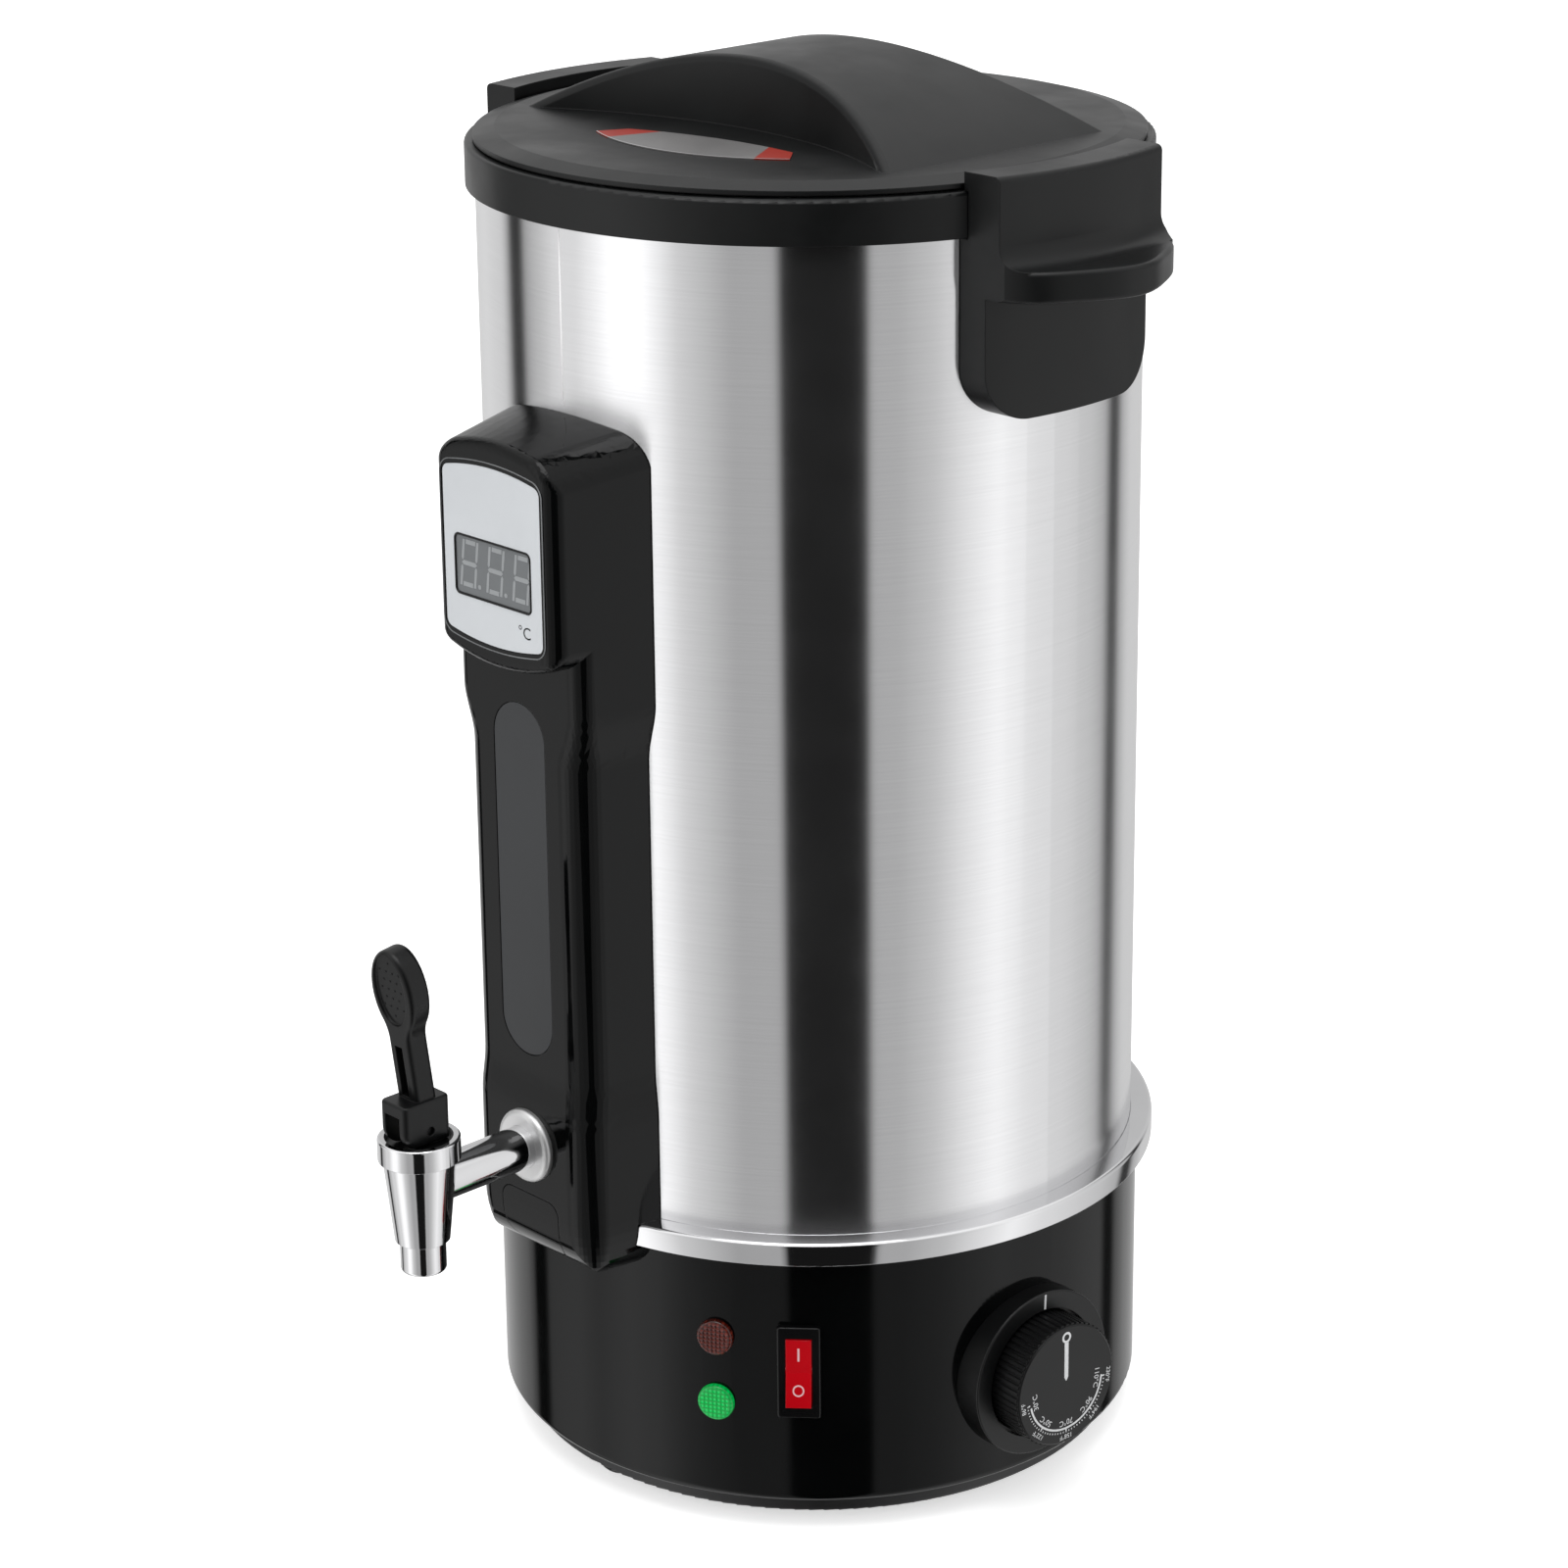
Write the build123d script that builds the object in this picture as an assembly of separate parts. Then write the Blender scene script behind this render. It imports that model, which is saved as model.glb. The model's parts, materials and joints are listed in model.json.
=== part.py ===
from build123d import *
import os
from math import cos, degrees, radians, sin, sqrt, tan

# Candle wax melter with a lift-off lid, a front tap and a thermostat.
# Frame: origin on the barrel's axis at floor level, +Z up, the tap points along -Y,
# and the side handles stand at +X and -X. Lengths are millimetres, angles are degrees.
# An azimuth is counted from the tap's side (-Y) towards the right-hand handle (+X).

# --- clearances ---
panel_gap = 0.3           # between neighbouring bodies and loosely set panels
set_back = 0.1            # of a plate or strip behind the edge of its recess
running_gap = 0.05        # radial, a shaft that turns or slides in its hole
past = 1.0                # how far a cutting shape runs past the face it opens
through = 30.0            # length of a cutting shape that opens a wall from both sides

# --- feet, pan and base shell ---
foot_height = 4.0         # floor to the pan
foot_radius = 8.0
foot_inset = 12.0         # of the feet's centres from the pan's edge
foot_count = 3
foot_chamfer = 1.0
foot_recess_radius = 4.0
foot_recess_depth = 2.0
pan_step = 6.0            # of the pan's edge behind the base shell
pan_depth = 6.6
pan_wall = 2.0
pan_edge = 1.5
foot_screw_radius = 1.5
foot_screw_head_radius = 3.0
foot_screw_head = 1.2
vent_count = 9
vent_width = 4.0
vent_inner = 34.0
vent_outer = 66.0
base_step = 2.0           # of the base shell outside the barrel
base_height = 89.8
base_wall = 1.8
base_edge = 3.0           # rounding of the bottom edge
base_lip = 12.0           # inward flange that the pan is held to
collar_wall = 1.6         # neck of the base shell inside the barrel
collar_height = 14.0

# --- trim band, barrel and pot ---
band_step = 7.4           # of the band outside the barrel
band_height = 7.6
band_ledge = 2.4
band_edge = 1.4
barrel_radius = 110.0
barrel_wall = 0.7
barrel_height = 342.2
cable_hole_radius = 6.0
cable_hole_height = 250.0
pot_gap = 10.0            # between barrel and pot
pot_wall = 0.8
pot_depth = 332.0
pot_corner = 8.0
pot_flange = 1.0

# --- rim ring with the bayonet ---
ring_step = 3.2           # of the ring outside the barrel
ring_skirt = 7.0          # below the barrel's top edge
ring_height = 14.4
ring_web = 4.0            # thickness of the bayonet flange
ring_edge = 1.2
ring_flange = 3.7         # width of the bayonet flange inside the pot
lug_angle = 20.0
lug_height = 4.6
notch_play = 4.0          # extra angle of the notch

# --- lid ---
lid_step = 2.8            # of the lid's edge inside the ring's
lid_rest_gap = 0.6        # ring to the lid's underside
lid_edge = 1.6            # upright edge below the bevel
lid_bevel_run = 7.2
lid_bevel = 1.9
lid_wall = 3.0
crest_height = 23.5       # grip above the lid's flat
crest_radius = 166.0      # grip seen from the front
hollow_radius = 161.0     # finger hollows before and behind the grip
grip_half = 27.0          # of the grip between the hollows, at its middle
crest_rounding = 2.5
skirt_gap = 2.5           # between skirt and bayonet flange
skirt_wall = 2.5
skirt_drop = 10.0
gasket_inset = 4.4        # from the lid's edge
gasket_width = 5.0
gasket_depth = 1.6
stud_radius = 3.0
stud_head_radius = 6.0
stud_head_height = 2.5
stud_length = 24.0
boss_wall = 4.0
drip_plate_gap = 2.5      # between the plate and the skirt
drip_plate_wall = 0.8
drip_rim_drop = 2.0
badge_outer = 72.0
badge_offset = 19.5       # from the hollow's wall to the badge
badge_half_angle = 34.0
badge_swing = 7.0
badge_thickness = 0.4
badge_end_angle = 9.0

# --- handles ---
handle_half_width = 37.0
handle_plate_step = 10.5   # outside the barrel
handle_block_step = 16.0   # outside the barrel
handle_plate_drop = 64.5  # below the barrel's top edge
handle_rise = 13.5        # above the barrel's top edge
handle_lip_gap = 1.6      # between the lid and the lip over the ring
handle_corner = 16.0
handle_edge = 2.0
grip_thickness = 10.0
grip_drop = 25.0          # grip's underside below the barrel's top edge
grip_step = 36.0          # outside the barrel
grip_edge = 1.6
grip_cove = 7.0           # hollow rounding between block and grip
grip_side_step = 2.0      # how far the grip's ends stand out from the plate
handle_screw_radius = 2.0
handle_screw_spread = 20.0
handle_screw_drop = 45.0
handle_screw_length = 9.0
handle_screw_head_radius = 4.0
handle_screw_head = 1.6
grip_shoulder_back = 15.0  # the outline's two points, from the grip's outermost point
grip_shoulder_half = 31.1
grip_bow_back = 6.6
grip_bow_half = 18.5

# --- shroud ---
shroud_bottom = 91.0
shroud_crown = 378.5
shroud_shoulder = 373.0
shroud_slope = 8.0
shroud_back_half = 35.5
shroud_back_inset = 6.0   # inside the barrel's front
shroud_front_half = 28.3
head_step = 30.0          # in front of the barrel
head_low = 299.0
head_low_side = 305.0      # where the arched underside meets the sides
head_low_corner = 9.0
head_edge = 3.5
column_set_back = 8.7     # behind the head
column_narrow = 2.5       # of each side, against the head's sides
column_corner = 11.0
neck_low = 268.0          # where the column starts to widen
neck_high = 287.0
shroud_corner = 7.0
shroud_top_corner = 14.0
toe_step = 1.3            # the slightly proud foot of the column
toe_extra = 0.8
toe_low = 144.0           # where the foot starts to blend into the column
toe_high = 160.0
toe_rounding = 14.0
toe_corner = 9.0          # of the foot's two lower side edges
blend_steps = 4           # sections that a soft change of size runs through, less one
edge_play = 0.3           # how far the front views stand outside the drafted sides
post_radius = 4.0
shroud_wall = 2.5
inlay_width = 24.5
inlay_low = 165.0
inlay_high = 286.0
inlay_thickness = 0.8
cover_width = 28.0
cover_low = 96.0
cover_high = 115.0
cover_corner = 5.0
cover_thickness = 1.2
plate_width = 46.8
plate_centre = 336.0
plate_side_height = 52.7
plate_arch = 2.8
plate_corner = 3.0
plate_thickness = 0.8
window_width = 36.0
window_height = 19.0
window_centre = 331.0
window_corner = 1.5
window_thickness = 1.5
module_depth = 9.0
module_inset = 1.0        # display block's edge behind the window's
board_margin = 5.0
board_thickness = 1.6
shroud_screw_radius = 1.75
shroud_screw_head_radius = 3.2
shroud_screw_head = 1.5
shroud_screw_length = 12.0
shroud_screw_heights = (200.0, 300.0)

# --- tap ---
tap_rise = 20.0           # of the shank above the pot's underside
tap_step = 68.0           # from the barrel's front to the cup's axis
shank_radius = 7.3
shank_bore = 4.5
shank_inside = 12.0       # of the shank inside the pot
washer_radius = 12.5
washer_thickness = 3.0
washer_edge = 2.0
seal_radius = 10.5
seal_thickness = 3.0      # at its middle; the pot's round wall hollows its back
nut_flats = 22.0
nut_thickness = 6.0
cup_rise = 18.0           # of the cup's rim above the shank
cup_rim_radius = 13.5
cup_rim_height = 7.5
cup_rim_edge = 0.8
cup_shoulder_radius = 12.0
cup_waist_radius = 9.0
cup_waist_drop = 18.0     # below the shank
outlet_radius = 7.5
outlet_bore = 5.8
outlet_drop = 29.0
outlet_edge = 1.2
seat_drop = 13.5
seat_radius = 5.2
seat_depth = 3.0          # of the narrow seat above the outlet's bore
chamber_radius = 8.2
bonnet_radius = 11.2
bonnet_depth = 8.0
bonnet_recess = 1.9
stem_radius = 3.0
eye_radius = 4.2
eye_half_width = 3.2
seal_cup_radius = 7.2
seal_cup_height = 4.5
seal_cup_wall = 1.2
seal_nose = 1.2           # how far the seal reaches into the seat
seal_nose_gap = 0.6
disc_thickness = 2.0
spring_coil_radius = 5.2
spring_wire_radius = 0.5
spring_turns = 5
pin_radius = 1.5
pin_rise = 5.0            # from the lever's foot to the pin
pin_inset = 1.5           # of the pin's ends in the lever's block
lever_block_width = 13.0
lever_block_front = 10.4   # before the pin
lever_block_back = 8.4     # behind the pin
lever_block_rise = 14.0    # above the cup's rim
lever_block_edge = 2.2
lever_crown_edge = 1.0
lever_foot_radius = 10.6  # of the part that dips into the cup
lever_toe = 6.5           # rounding of the foot that cams on the bonnet
lever_slot_half = 3.6
lever_slot_cover = 4.0     # of the block above the slot
lever_neck_width = 10.5
lever_neck_thickness = 8.5
lever_neck_edge = 2.0
lever_shoulder = 12.0      # hollow rounding between neck and paddle
lever_paddle_width = 20.5
lever_paddle_rise = 38.0   # of the paddle's middle above the block
lever_rise = 53.0          # of its top above the block
lever_lean = 7.5
lever_dish_rise = 39.5
lever_dish_half_width = 7.6
lever_dish_half_height = 12.5
lever_dish_depth = 0.9
lever_dish_edge = 0.6
lever_window_width = 3.6
lever_window_rise = 1.5    # of its lower end above the block
lever_window_height = 18.0

# --- controls on the base ---
lamp_azimuth = 28.2
red_lamp_height = 70.1
green_lamp_height = 46.3
lens_radius = 6.25
lens_rise = 2.2
lens_edge = 1.0
lens_stem_radius = 3.8
lens_stem_length = 2.8     # behind the shell's surface
lamp_body_radius = 5.0
lamp_body_length = 20.0
switch_azimuth = 42.5
switch_height = 60.0
bezel_width = 14.4
bezel_height = 33.0
bezel_rise = 2.4
bezel_corner = 1.0
bezel_edge = 0.6
switch_body_width = 12.4
switch_body_height = 27.0
switch_body_depth = 18.0
rocker_width = 8.4
rocker_height = 24.3
rocker_rise = 1.9         # of each end above the bezel, when level
rocker_dip = 1.6          # of the middle below the ends
rocker_depth = 5.0
rocker_end_gap = 0.4
rocker_chamfer = 2.0       # of its two hidden back corners
rocker_chamfer_run = 4.0
rocker_tilt = 7.5         # to either side of level
rocker_axle_radius = 1.2
rocker_axle_length = 1.0
dial_azimuth = 85.0
dial_height = 48.2
dial_radius = 29.0
dial_rise = 6.5           # in front of the base shell
dial_edge = 0.6
dial_well_radius = 22.7    # round the knob
dial_well = 3.0
dial_boss_radius = 12.0
knob_radius = 21.7
knob_depth = 11.8
knob_face_edge = 0.8
knob_grip = 7.0           # depth of the shaft's hole
knob_flute_count = 60
knob_flute_radius = 0.55
shaft_radius = 3.0
thermostat_width = 34.0
thermostat_inset = 7.0    # behind the base shell's surface
thermostat_depth = 24.0
thermostat_edge = 2.0
shaft_depth = 4.0         # of the shaft inside the thermostat's box

# --- heating and wiring inside the base ---
heat_plate_radius = 72.0
heat_plate_thickness = 6.5
tie_thread_depth = 4.0     # of the tie stud's thin end in the heat plate
tie_thread_radius = 3.0
element_circle = 56.0
element_radius = 4.0
element_angle = 330.0
element_start = 60.0
element_tail = 16.0
element_tail_radius = 2.8
element_tail_angle = 3.0   # from the ring's end to the tail
cutout_radius = 8.0
cutout_height = 9.0
cutout_place = 30.0
cutout_tab_half = 14.0
cutout_tab_depth = 4.0
cutout_tab_thickness = 1.2
bulb_radius = 3.0
bulb_length = 60.0
bulb_place = 30.0
bulb_edge = 1.0
capillary_radius = 1.0
capillary_bend = 2.5
capillary_drop = 6.0       # below the heating element
capillary_leave = 6.0      # length of its last level part at the bulb
capillary_slope = 8.0      # run of the part that climbs to the bulb
capillary_lead = 30.0      # from the bulb to its first bend
capillary_sag = 2.0
capillary_dip = 6.0
tie_radius = 4.0
tie_nut_flats = 13.0
tie_nut_height = 3.2
terminal_length = 46.0
terminal_width = 18.0
terminal_height = 16.0
terminal_inset = 40.0     # of its middle from the pan's edge
terminal_count = 5
terminal_well_radius = 2.6
terminal_well_depth = 7.0
gland_height = 36.0
gland_bore = 3.6
gland_radius = 9.0
gland_rise = 7.0
gland_edge = 2.5
gland_inside = 12.0        # barrel behind the shell's surface
gland_nut_gap = 0.6        # room for the shell's curve behind the nut
gland_barrel_radius = 6.0
gland_nut_flats = 18.0
gland_nut_height = 4.0
probe_height = 165.0
probe_radius = 2.5
probe_head_radius = 4.0
probe_hole_radius = 5.0      # in the barrel, for the probe's head
probe_reach = 12.0        # into the pot

# --- stations worked out from the sizes above ---
base_radius = barrel_radius + base_step
pan_radius = base_radius - pan_step
foot_circle = pan_radius - foot_inset
terminal_place = pan_radius - terminal_inset
band_radius = barrel_radius + band_step
pot_radius = barrel_radius - pot_gap
ring_radius = barrel_radius + ring_step
pan_bottom = foot_height
base_bottom = pan_bottom + pan_depth
base_top = base_bottom + base_height
band_top = base_top + band_height
barrel_bottom = base_top + band_ledge
barrel_top = barrel_bottom + barrel_height
barrel_inner = barrel_radius - barrel_wall
pot_inner = pot_radius - pot_wall
ring_mouth = pot_inner - ring_flange
lid_radius = ring_radius - lid_step
lid_flat_radius = lid_radius - lid_bevel_run
skirt_radius = ring_mouth - skirt_gap
gasket_outer = lid_radius - gasket_inset
gasket_inner = gasket_outer - gasket_width
drip_plate_radius = skirt_radius - skirt_wall - drip_plate_gap
hollow_distance = hollow_radius + grip_half
handle_plate_radius = barrel_radius + handle_plate_step
handle_block_radius = barrel_radius + handle_block_step
handle_lip_radius = lid_radius + handle_lip_gap
grip_reach = barrel_radius + grip_step
shroud_back_depth = barrel_radius - shroud_back_inset
shroud_root = barrel_radius * cos(radians(30))
head_depth = barrel_radius + head_step
column_depth = head_depth - column_set_back
toe_depth = column_depth + toe_step
tap_distance = barrel_radius + tap_step
shank_reach = pot_radius - shank_inside
dial_front = base_radius + dial_rise
knob_front = dial_front + knob_depth
thermostat_front = base_radius - thermostat_inset
pot_bottom = barrel_top - pot_depth
tap_height = pot_bottom + tap_rise
cup_top = tap_height + cup_rise
cup_waist_height = tap_height - cup_waist_drop
outlet_bottom = tap_height - outlet_drop
seat_height = tap_height - seat_drop
lever_block_top = cup_top + lever_block_rise
lever_slot_top = lever_block_top - lever_slot_cover
lever_paddle_centre = lever_block_top + lever_paddle_rise
lever_top = lever_block_top + lever_rise
ring_bottom = barrel_top - ring_skirt
ring_top = ring_bottom + ring_height
flange_bottom = ring_top - ring_web
lid_bottom = ring_top + lid_rest_gap
lid_flat = lid_bottom + lid_edge + lid_bevel
crest = lid_flat + crest_height
skirt_bottom = lid_bottom - skirt_drop
lug_radius = pot_inner - 2 * panel_gap
stud_bottom = skirt_bottom
plate_level = stud_bottom + stud_head_height
handle_bottom = barrel_top - handle_plate_drop
handle_top = barrel_top + handle_rise
grip_bottom = barrel_top - grip_drop
grip_top = grip_bottom + grip_thickness
heat_plate_bottom = pot_bottom - heat_plate_thickness
bonnet_top = cup_top - bonnet_recess
bonnet_bottom = bonnet_top - bonnet_depth
pin_height = bonnet_top + panel_gap + pin_rise
seal_bottom = seat_height + panel_gap
disc_bottom = seal_bottom + seal_cup_height - disc_thickness
upright = (Align.CENTER, Align.CENTER, Align.MIN)


# --- small helpers ---
def drum(radius, low, high, x=0.0, y=0.0):
    """An upright cylinder between two heights."""
    return Pos(x, y, low) * Cylinder(radius, high - low, align=upright)


def tube(inner, outer, low, high, x=0.0, y=0.0):
    """An upright tube between two heights."""
    return drum(outer, low, high, x, y) - drum(inner, low - 1, high + 1, x, y)


def slab(x_low, x_high, y_low, y_high, z_low, z_high):
    """A box between two corners."""
    size = (x_high - x_low, y_high - y_low, z_high - z_low)
    centre = ((x_low + x_high) / 2, (y_low + y_high) / 2, (z_low + z_high) / 2)
    return Pos(*centre) * Box(*size)


def turned(points):
    """A solid of revolution about the Z axis from (radius, height) points."""
    outline = make_face(Polyline(*points, close=True))
    return revolve(Plane.XZ * outline, Axis.Z)


def outward(azimuth, distance, height):
    """A place whose Z points away from the axis and whose Y points up."""
    across = (cos(radians(azimuth)), sin(radians(azimuth)), 0)
    away = (sin(radians(azimuth)), -cos(radians(azimuth)), 0)
    origin = (distance * away[0], distance * away[1], height)
    return Plane(origin=origin, x_dir=across, z_dir=away).location


def wedge(azimuth, half_angle, reach, low, high):
    """A pie slice from the axis, used to cut notches and lugs."""
    spread = reach * sin(radians(half_angle)) / cos(radians(half_angle))
    slice_face = make_face(Polyline((0, 0), (reach, spread), (reach, -spread), close=True))
    return Rot(0, 0, azimuth - 90) * (Pos(0, 0, low) * extrude(slice_face, high - low))


def hexagon(flats, low, high, x=0.0, y=0.0):
    """An upright hexagonal nut blank."""
    return Pos(x, y, low) * extrude(RegularPolygon(flats / sqrt(3), 6), high - low)


def softened(face, corners, radius):
    """Rounds the corners of a flat outline that lie nearest to the given points."""
    for corner in corners:
        nearest = face.vertices().sort_by_distance((corner[0], corner[1], 0))[0]
        face = fillet(nearest, radius)
    return face


def screw(head_radius, head_height, shank_radius, length):
    """A pan-head screw along -Z, with its head above the origin."""
    head = Cylinder(head_radius, head_height, align=upright)
    shank = Pos(0, 0, -length) * Cylinder(shank_radius, length, align=upright)
    return head + shank


def together(shapes):
    """Separate solids kept in one node."""
    solids = []
    for shape in shapes:
        solids.extend(shape.solids())
    return Compound(children=solids)


# --- feet, pan and base shell ---
def foot_places():
    """The centres of the feet, the first one below the tap."""
    angles = [360 / foot_count * step for step in range(foot_count)]
    return [(foot_circle * sin(radians(a)), -foot_circle * cos(radians(a))) for a in angles]


def make_feet():
    """Rubber feet with a recess for their screws."""
    feet = []
    for x, y in foot_places():
        foot = drum(foot_radius, 0, foot_height, x, y)
        foot = chamfer(foot.edges().group_by(Axis.Z)[0], foot_chamfer)
        foot -= drum(foot_recess_radius, -past, foot_recess_depth, x, y)
        feet.append(foot - drum(foot_screw_radius, 0, foot_height + past, x, y))
    return together(feet)


def make_foot_screws():
    """Screws through the feet into the pan."""
    length = foot_height - foot_recess_depth + pan_wall
    one = screw(foot_screw_head_radius, foot_screw_head, foot_screw_radius, length)
    one = Rot(180, 0, 0) * one
    return together([Pos(x, y, foot_recess_depth) * one for x, y in foot_places()])


def make_base_pan():
    """Shallow pan with radial vents, a hole for the tie stud and the feet's holes."""
    pan = drum(pan_radius, pan_bottom, base_bottom)
    pan = fillet(pan.edges().group_by(Axis.Z)[0], pan_edge)
    pan -= drum(pan_radius - pan_wall, pan_bottom + pan_wall, base_bottom + past)
    slot_length = vent_outer - vent_inner
    for step in range(vent_count):
        slot = extrude(SlotOverall(slot_length, vent_width), pan_wall + 2 * past)
        slot = Pos((vent_inner + vent_outer) / 2, 0, pan_bottom - past) * slot
        pan -= Rot(0, 0, 360 / vent_count * (step + 0.5)) * slot
    pan -= drum(tie_radius, pan_bottom - past, base_bottom)
    for x, y in foot_places():
        pan -= drum(foot_screw_radius, pan_bottom - past, base_bottom, x, y)
    return pan


def make_base_shell():
    """Drum with a bottom flange, a neck for the barrel and the controls' cut-outs."""
    neck_radius = barrel_inner
    outer = drum(base_radius, base_bottom, base_top)
    outer = fillet(outer.edges().group_by(Axis.Z)[0], base_edge)
    shell = outer + drum(neck_radius, base_top, base_top + collar_height)
    shell -= drum(base_radius - base_wall, base_bottom + base_wall, base_top - base_wall)
    shell -= drum(neck_radius - collar_wall, base_top - base_wall - past,
                  base_top + collar_height + past)
    shell -= drum(base_radius - base_lip, base_bottom - past, base_bottom + base_wall + past)
    for height in (red_lamp_height, green_lamp_height):
        shell -= outward(lamp_azimuth, base_radius, height) * Cylinder(lamp_body_radius, through)
    shell -= outward(switch_azimuth, base_radius, switch_height) * Box(
        switch_body_width + panel_gap, switch_body_height + panel_gap, through)
    shell -= outward(dial_azimuth, base_radius, dial_height) * Cylinder(dial_boss_radius, through)
    shell -= outward(180, base_radius, gland_height) * Cylinder(gland_barrel_radius, through)
    return shell


# --- trim band, barrel, pot and rim ring ---
def make_trim_band():
    """Ring between base and barrel, with a ledge that the barrel stands on."""
    band = drum(band_radius, base_top, band_top)
    band = fillet(band.edges().group_by(Axis.Z)[-1], band_edge)
    band -= drum(barrel_inner, base_top - past, band_top + past)
    return band - drum(barrel_radius, barrel_bottom, band_top + past)


def make_barrel():
    """Outer barrel with holes for the tap, the probe, the cables and the screws."""
    barrel = tube(barrel_inner, barrel_radius, barrel_bottom, barrel_top)
    front_holes = [(tap_height, shank_radius), (probe_height, probe_hole_radius),
                   (cable_hole_height, cable_hole_radius)]
    front_holes += [(height, shroud_screw_radius) for height in shroud_screw_heights]
    for height, radius in front_holes:
        barrel -= outward(0, barrel_radius, height) * Cylinder(radius, through)
    for place in handle_screw_places():
        barrel -= place * Cylinder(handle_screw_radius, through)
    return barrel


def make_pot():
    """Deep-drawn pot whose flange rests on the barrel's top edge."""
    pot = drum(pot_radius, pot_bottom, barrel_top)
    pot = fillet(pot.edges().group_by(Axis.Z)[0], pot_corner)
    pot += drum(barrel_radius, barrel_top, barrel_top + pot_flange)
    hollow = drum(pot_inner, pot_bottom + pot_wall, barrel_top + pot_flange)
    hollow = fillet(hollow.edges().group_by(Axis.Z)[0], pot_corner - pot_wall)
    pot -= hollow
    pot -= outward(0, pot_radius, tap_height) * Cylinder(shank_radius, through)
    return pot - outward(0, pot_radius, probe_height) * Cylinder(probe_radius, through)


def make_rim_ring():
    """Collar over the pot's flange; two notches let the lid's lugs pass."""
    ring = drum(ring_radius, ring_bottom, ring_top)
    ring = fillet(ring.edges().group_by(Axis.Z)[-1], ring_edge)
    ring -= drum(barrel_radius + panel_gap, ring_bottom - past, barrel_top + pot_flange)
    ring -= drum(pot_inner, ring_bottom - past, flange_bottom)
    ring -= drum(ring_mouth, ring_bottom, ring_top + past)
    notch = tube(ring_mouth - past, pot_inner, flange_bottom - past, ring_top + past)
    for azimuth in (90, -90):
        ring -= notch & wedge(azimuth, lug_angle / 2 + notch_play, ring_radius,
                              flange_bottom - 2 * past, ring_top + 2 * past)
    return ring


# --- lid ---
def grip_form(inset):
    """The arched grip between its two finger hollows, shrunk by an inset."""
    top = crest - inset
    radius = crest_radius - inset
    foot = lid_flat - 2 * inset
    half = sqrt(radius ** 2 - (radius - (top - foot)) ** 2)
    arch = make_face([
        ThreePointArc((-half, foot), (0, top), (half, foot)),
        Line((half, foot), (-half, foot)),
    ])
    grip = Plane.XZ * extrude(arch, lid_radius, both=True)
    for side in (1, -1):
        hollow = drum(hollow_radius + inset, foot - past, top + past, 0, side * hollow_distance)
        grip -= hollow
    return grip


def make_lid_shell():
    """Lid with its grip, the gasket's groove, the skirt, the lugs and the stud's boss."""
    edge_top = lid_bottom + lid_edge
    shell = turned([(0, lid_bottom), (lid_radius, lid_bottom), (lid_radius, edge_top),
                    (lid_flat_radius, lid_flat), (0, lid_flat)])
    grip = grip_form(0)
    crest_edges = grip.edges().filter_by(lambda edge: edge.center().Z > lid_flat + crest_rounding)
    grip = fillet(crest_edges, crest_rounding)
    shell += grip
    shell -= grip_form(lid_wall) & drum(skirt_radius - skirt_wall, lid_bottom - past, crest)
    shell -= tube(gasket_inner, gasket_outer, lid_bottom - past, lid_bottom + gasket_depth)
    shell += tube(skirt_radius - skirt_wall, skirt_radius, skirt_bottom, lid_bottom)
    lugs = tube(skirt_radius - skirt_wall, lug_radius, skirt_bottom, skirt_bottom + lug_height)
    for azimuth in (90, -90):
        shell += lugs & wedge(azimuth, lug_angle / 2, ring_radius, skirt_bottom - past, lid_bottom)
    boss_bottom = plate_level + drip_plate_wall + panel_gap
    shell += drum(stud_radius + boss_wall, boss_bottom, crest - lid_wall / 2)
    return shell - drum(stud_radius + running_gap, boss_bottom - past, stud_bottom + stud_length + past)


def make_lid_gasket():
    """Silicone ring in the groove, just clear of the rim ring."""
    return tube(gasket_inner, gasket_outer, ring_top + panel_gap, lid_bottom + gasket_depth)


def make_lid_stud():
    """Headed stud that the shell turns on."""
    head = drum(stud_head_radius, stud_bottom, plate_level)
    return head + drum(stud_radius, plate_level, stud_bottom + stud_length)


def make_drip_plate():
    """Thin plate under the lid, carried on the stud's head."""
    plate = drum(drip_plate_radius, plate_level, plate_level + drip_plate_wall)
    rim = tube(drip_plate_radius - drip_plate_wall, drip_plate_radius, plate_level - drip_rim_drop,
               plate_level + drip_plate_wall)
    return plate + rim - drum(stud_radius, plate_level - past, plate_level + drip_plate_wall + past)


def badge_form():
    """The crescent between the front hollow's wall and a circle about the axis."""
    top = lid_flat + badge_thickness
    crescent = drum(badge_outer, lid_flat, top)
    inner = drum(hollow_radius - badge_offset, lid_flat, top, 0, -hollow_distance)
    crescent = Rot(0, 0, badge_swing) * (crescent & inner)
    tips = wedge(badge_swing, badge_half_angle, lid_radius, lid_flat - past, top + past)
    return crescent & tips


def badge_middle():
    """The pale part between the badge's two coloured ends."""
    return wedge(badge_swing, badge_half_angle - badge_end_angle, lid_radius,
                 lid_flat - past, lid_flat + badge_thickness + past)


# --- handles ---
def grip_outline():
    """Half-moon plan of the grip, from the handle's plate outwards."""
    side = handle_half_width
    root = handle_plate_radius + grip_side_step
    shoulder = (grip_reach - grip_shoulder_back, grip_shoulder_half)
    bow = (grip_reach - grip_bow_back, grip_bow_half)
    points = [
        (root, -side),
        (shoulder[0], -shoulder[1]),
        (bow[0], -bow[1]),
        (grip_reach, 0),
        bow,
        shoulder,
        (root, side),
    ]
    return make_face([
        Spline(*points),
        Polyline(points[-1], (0, side), (0, -side), points[0]),
    ])


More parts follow.
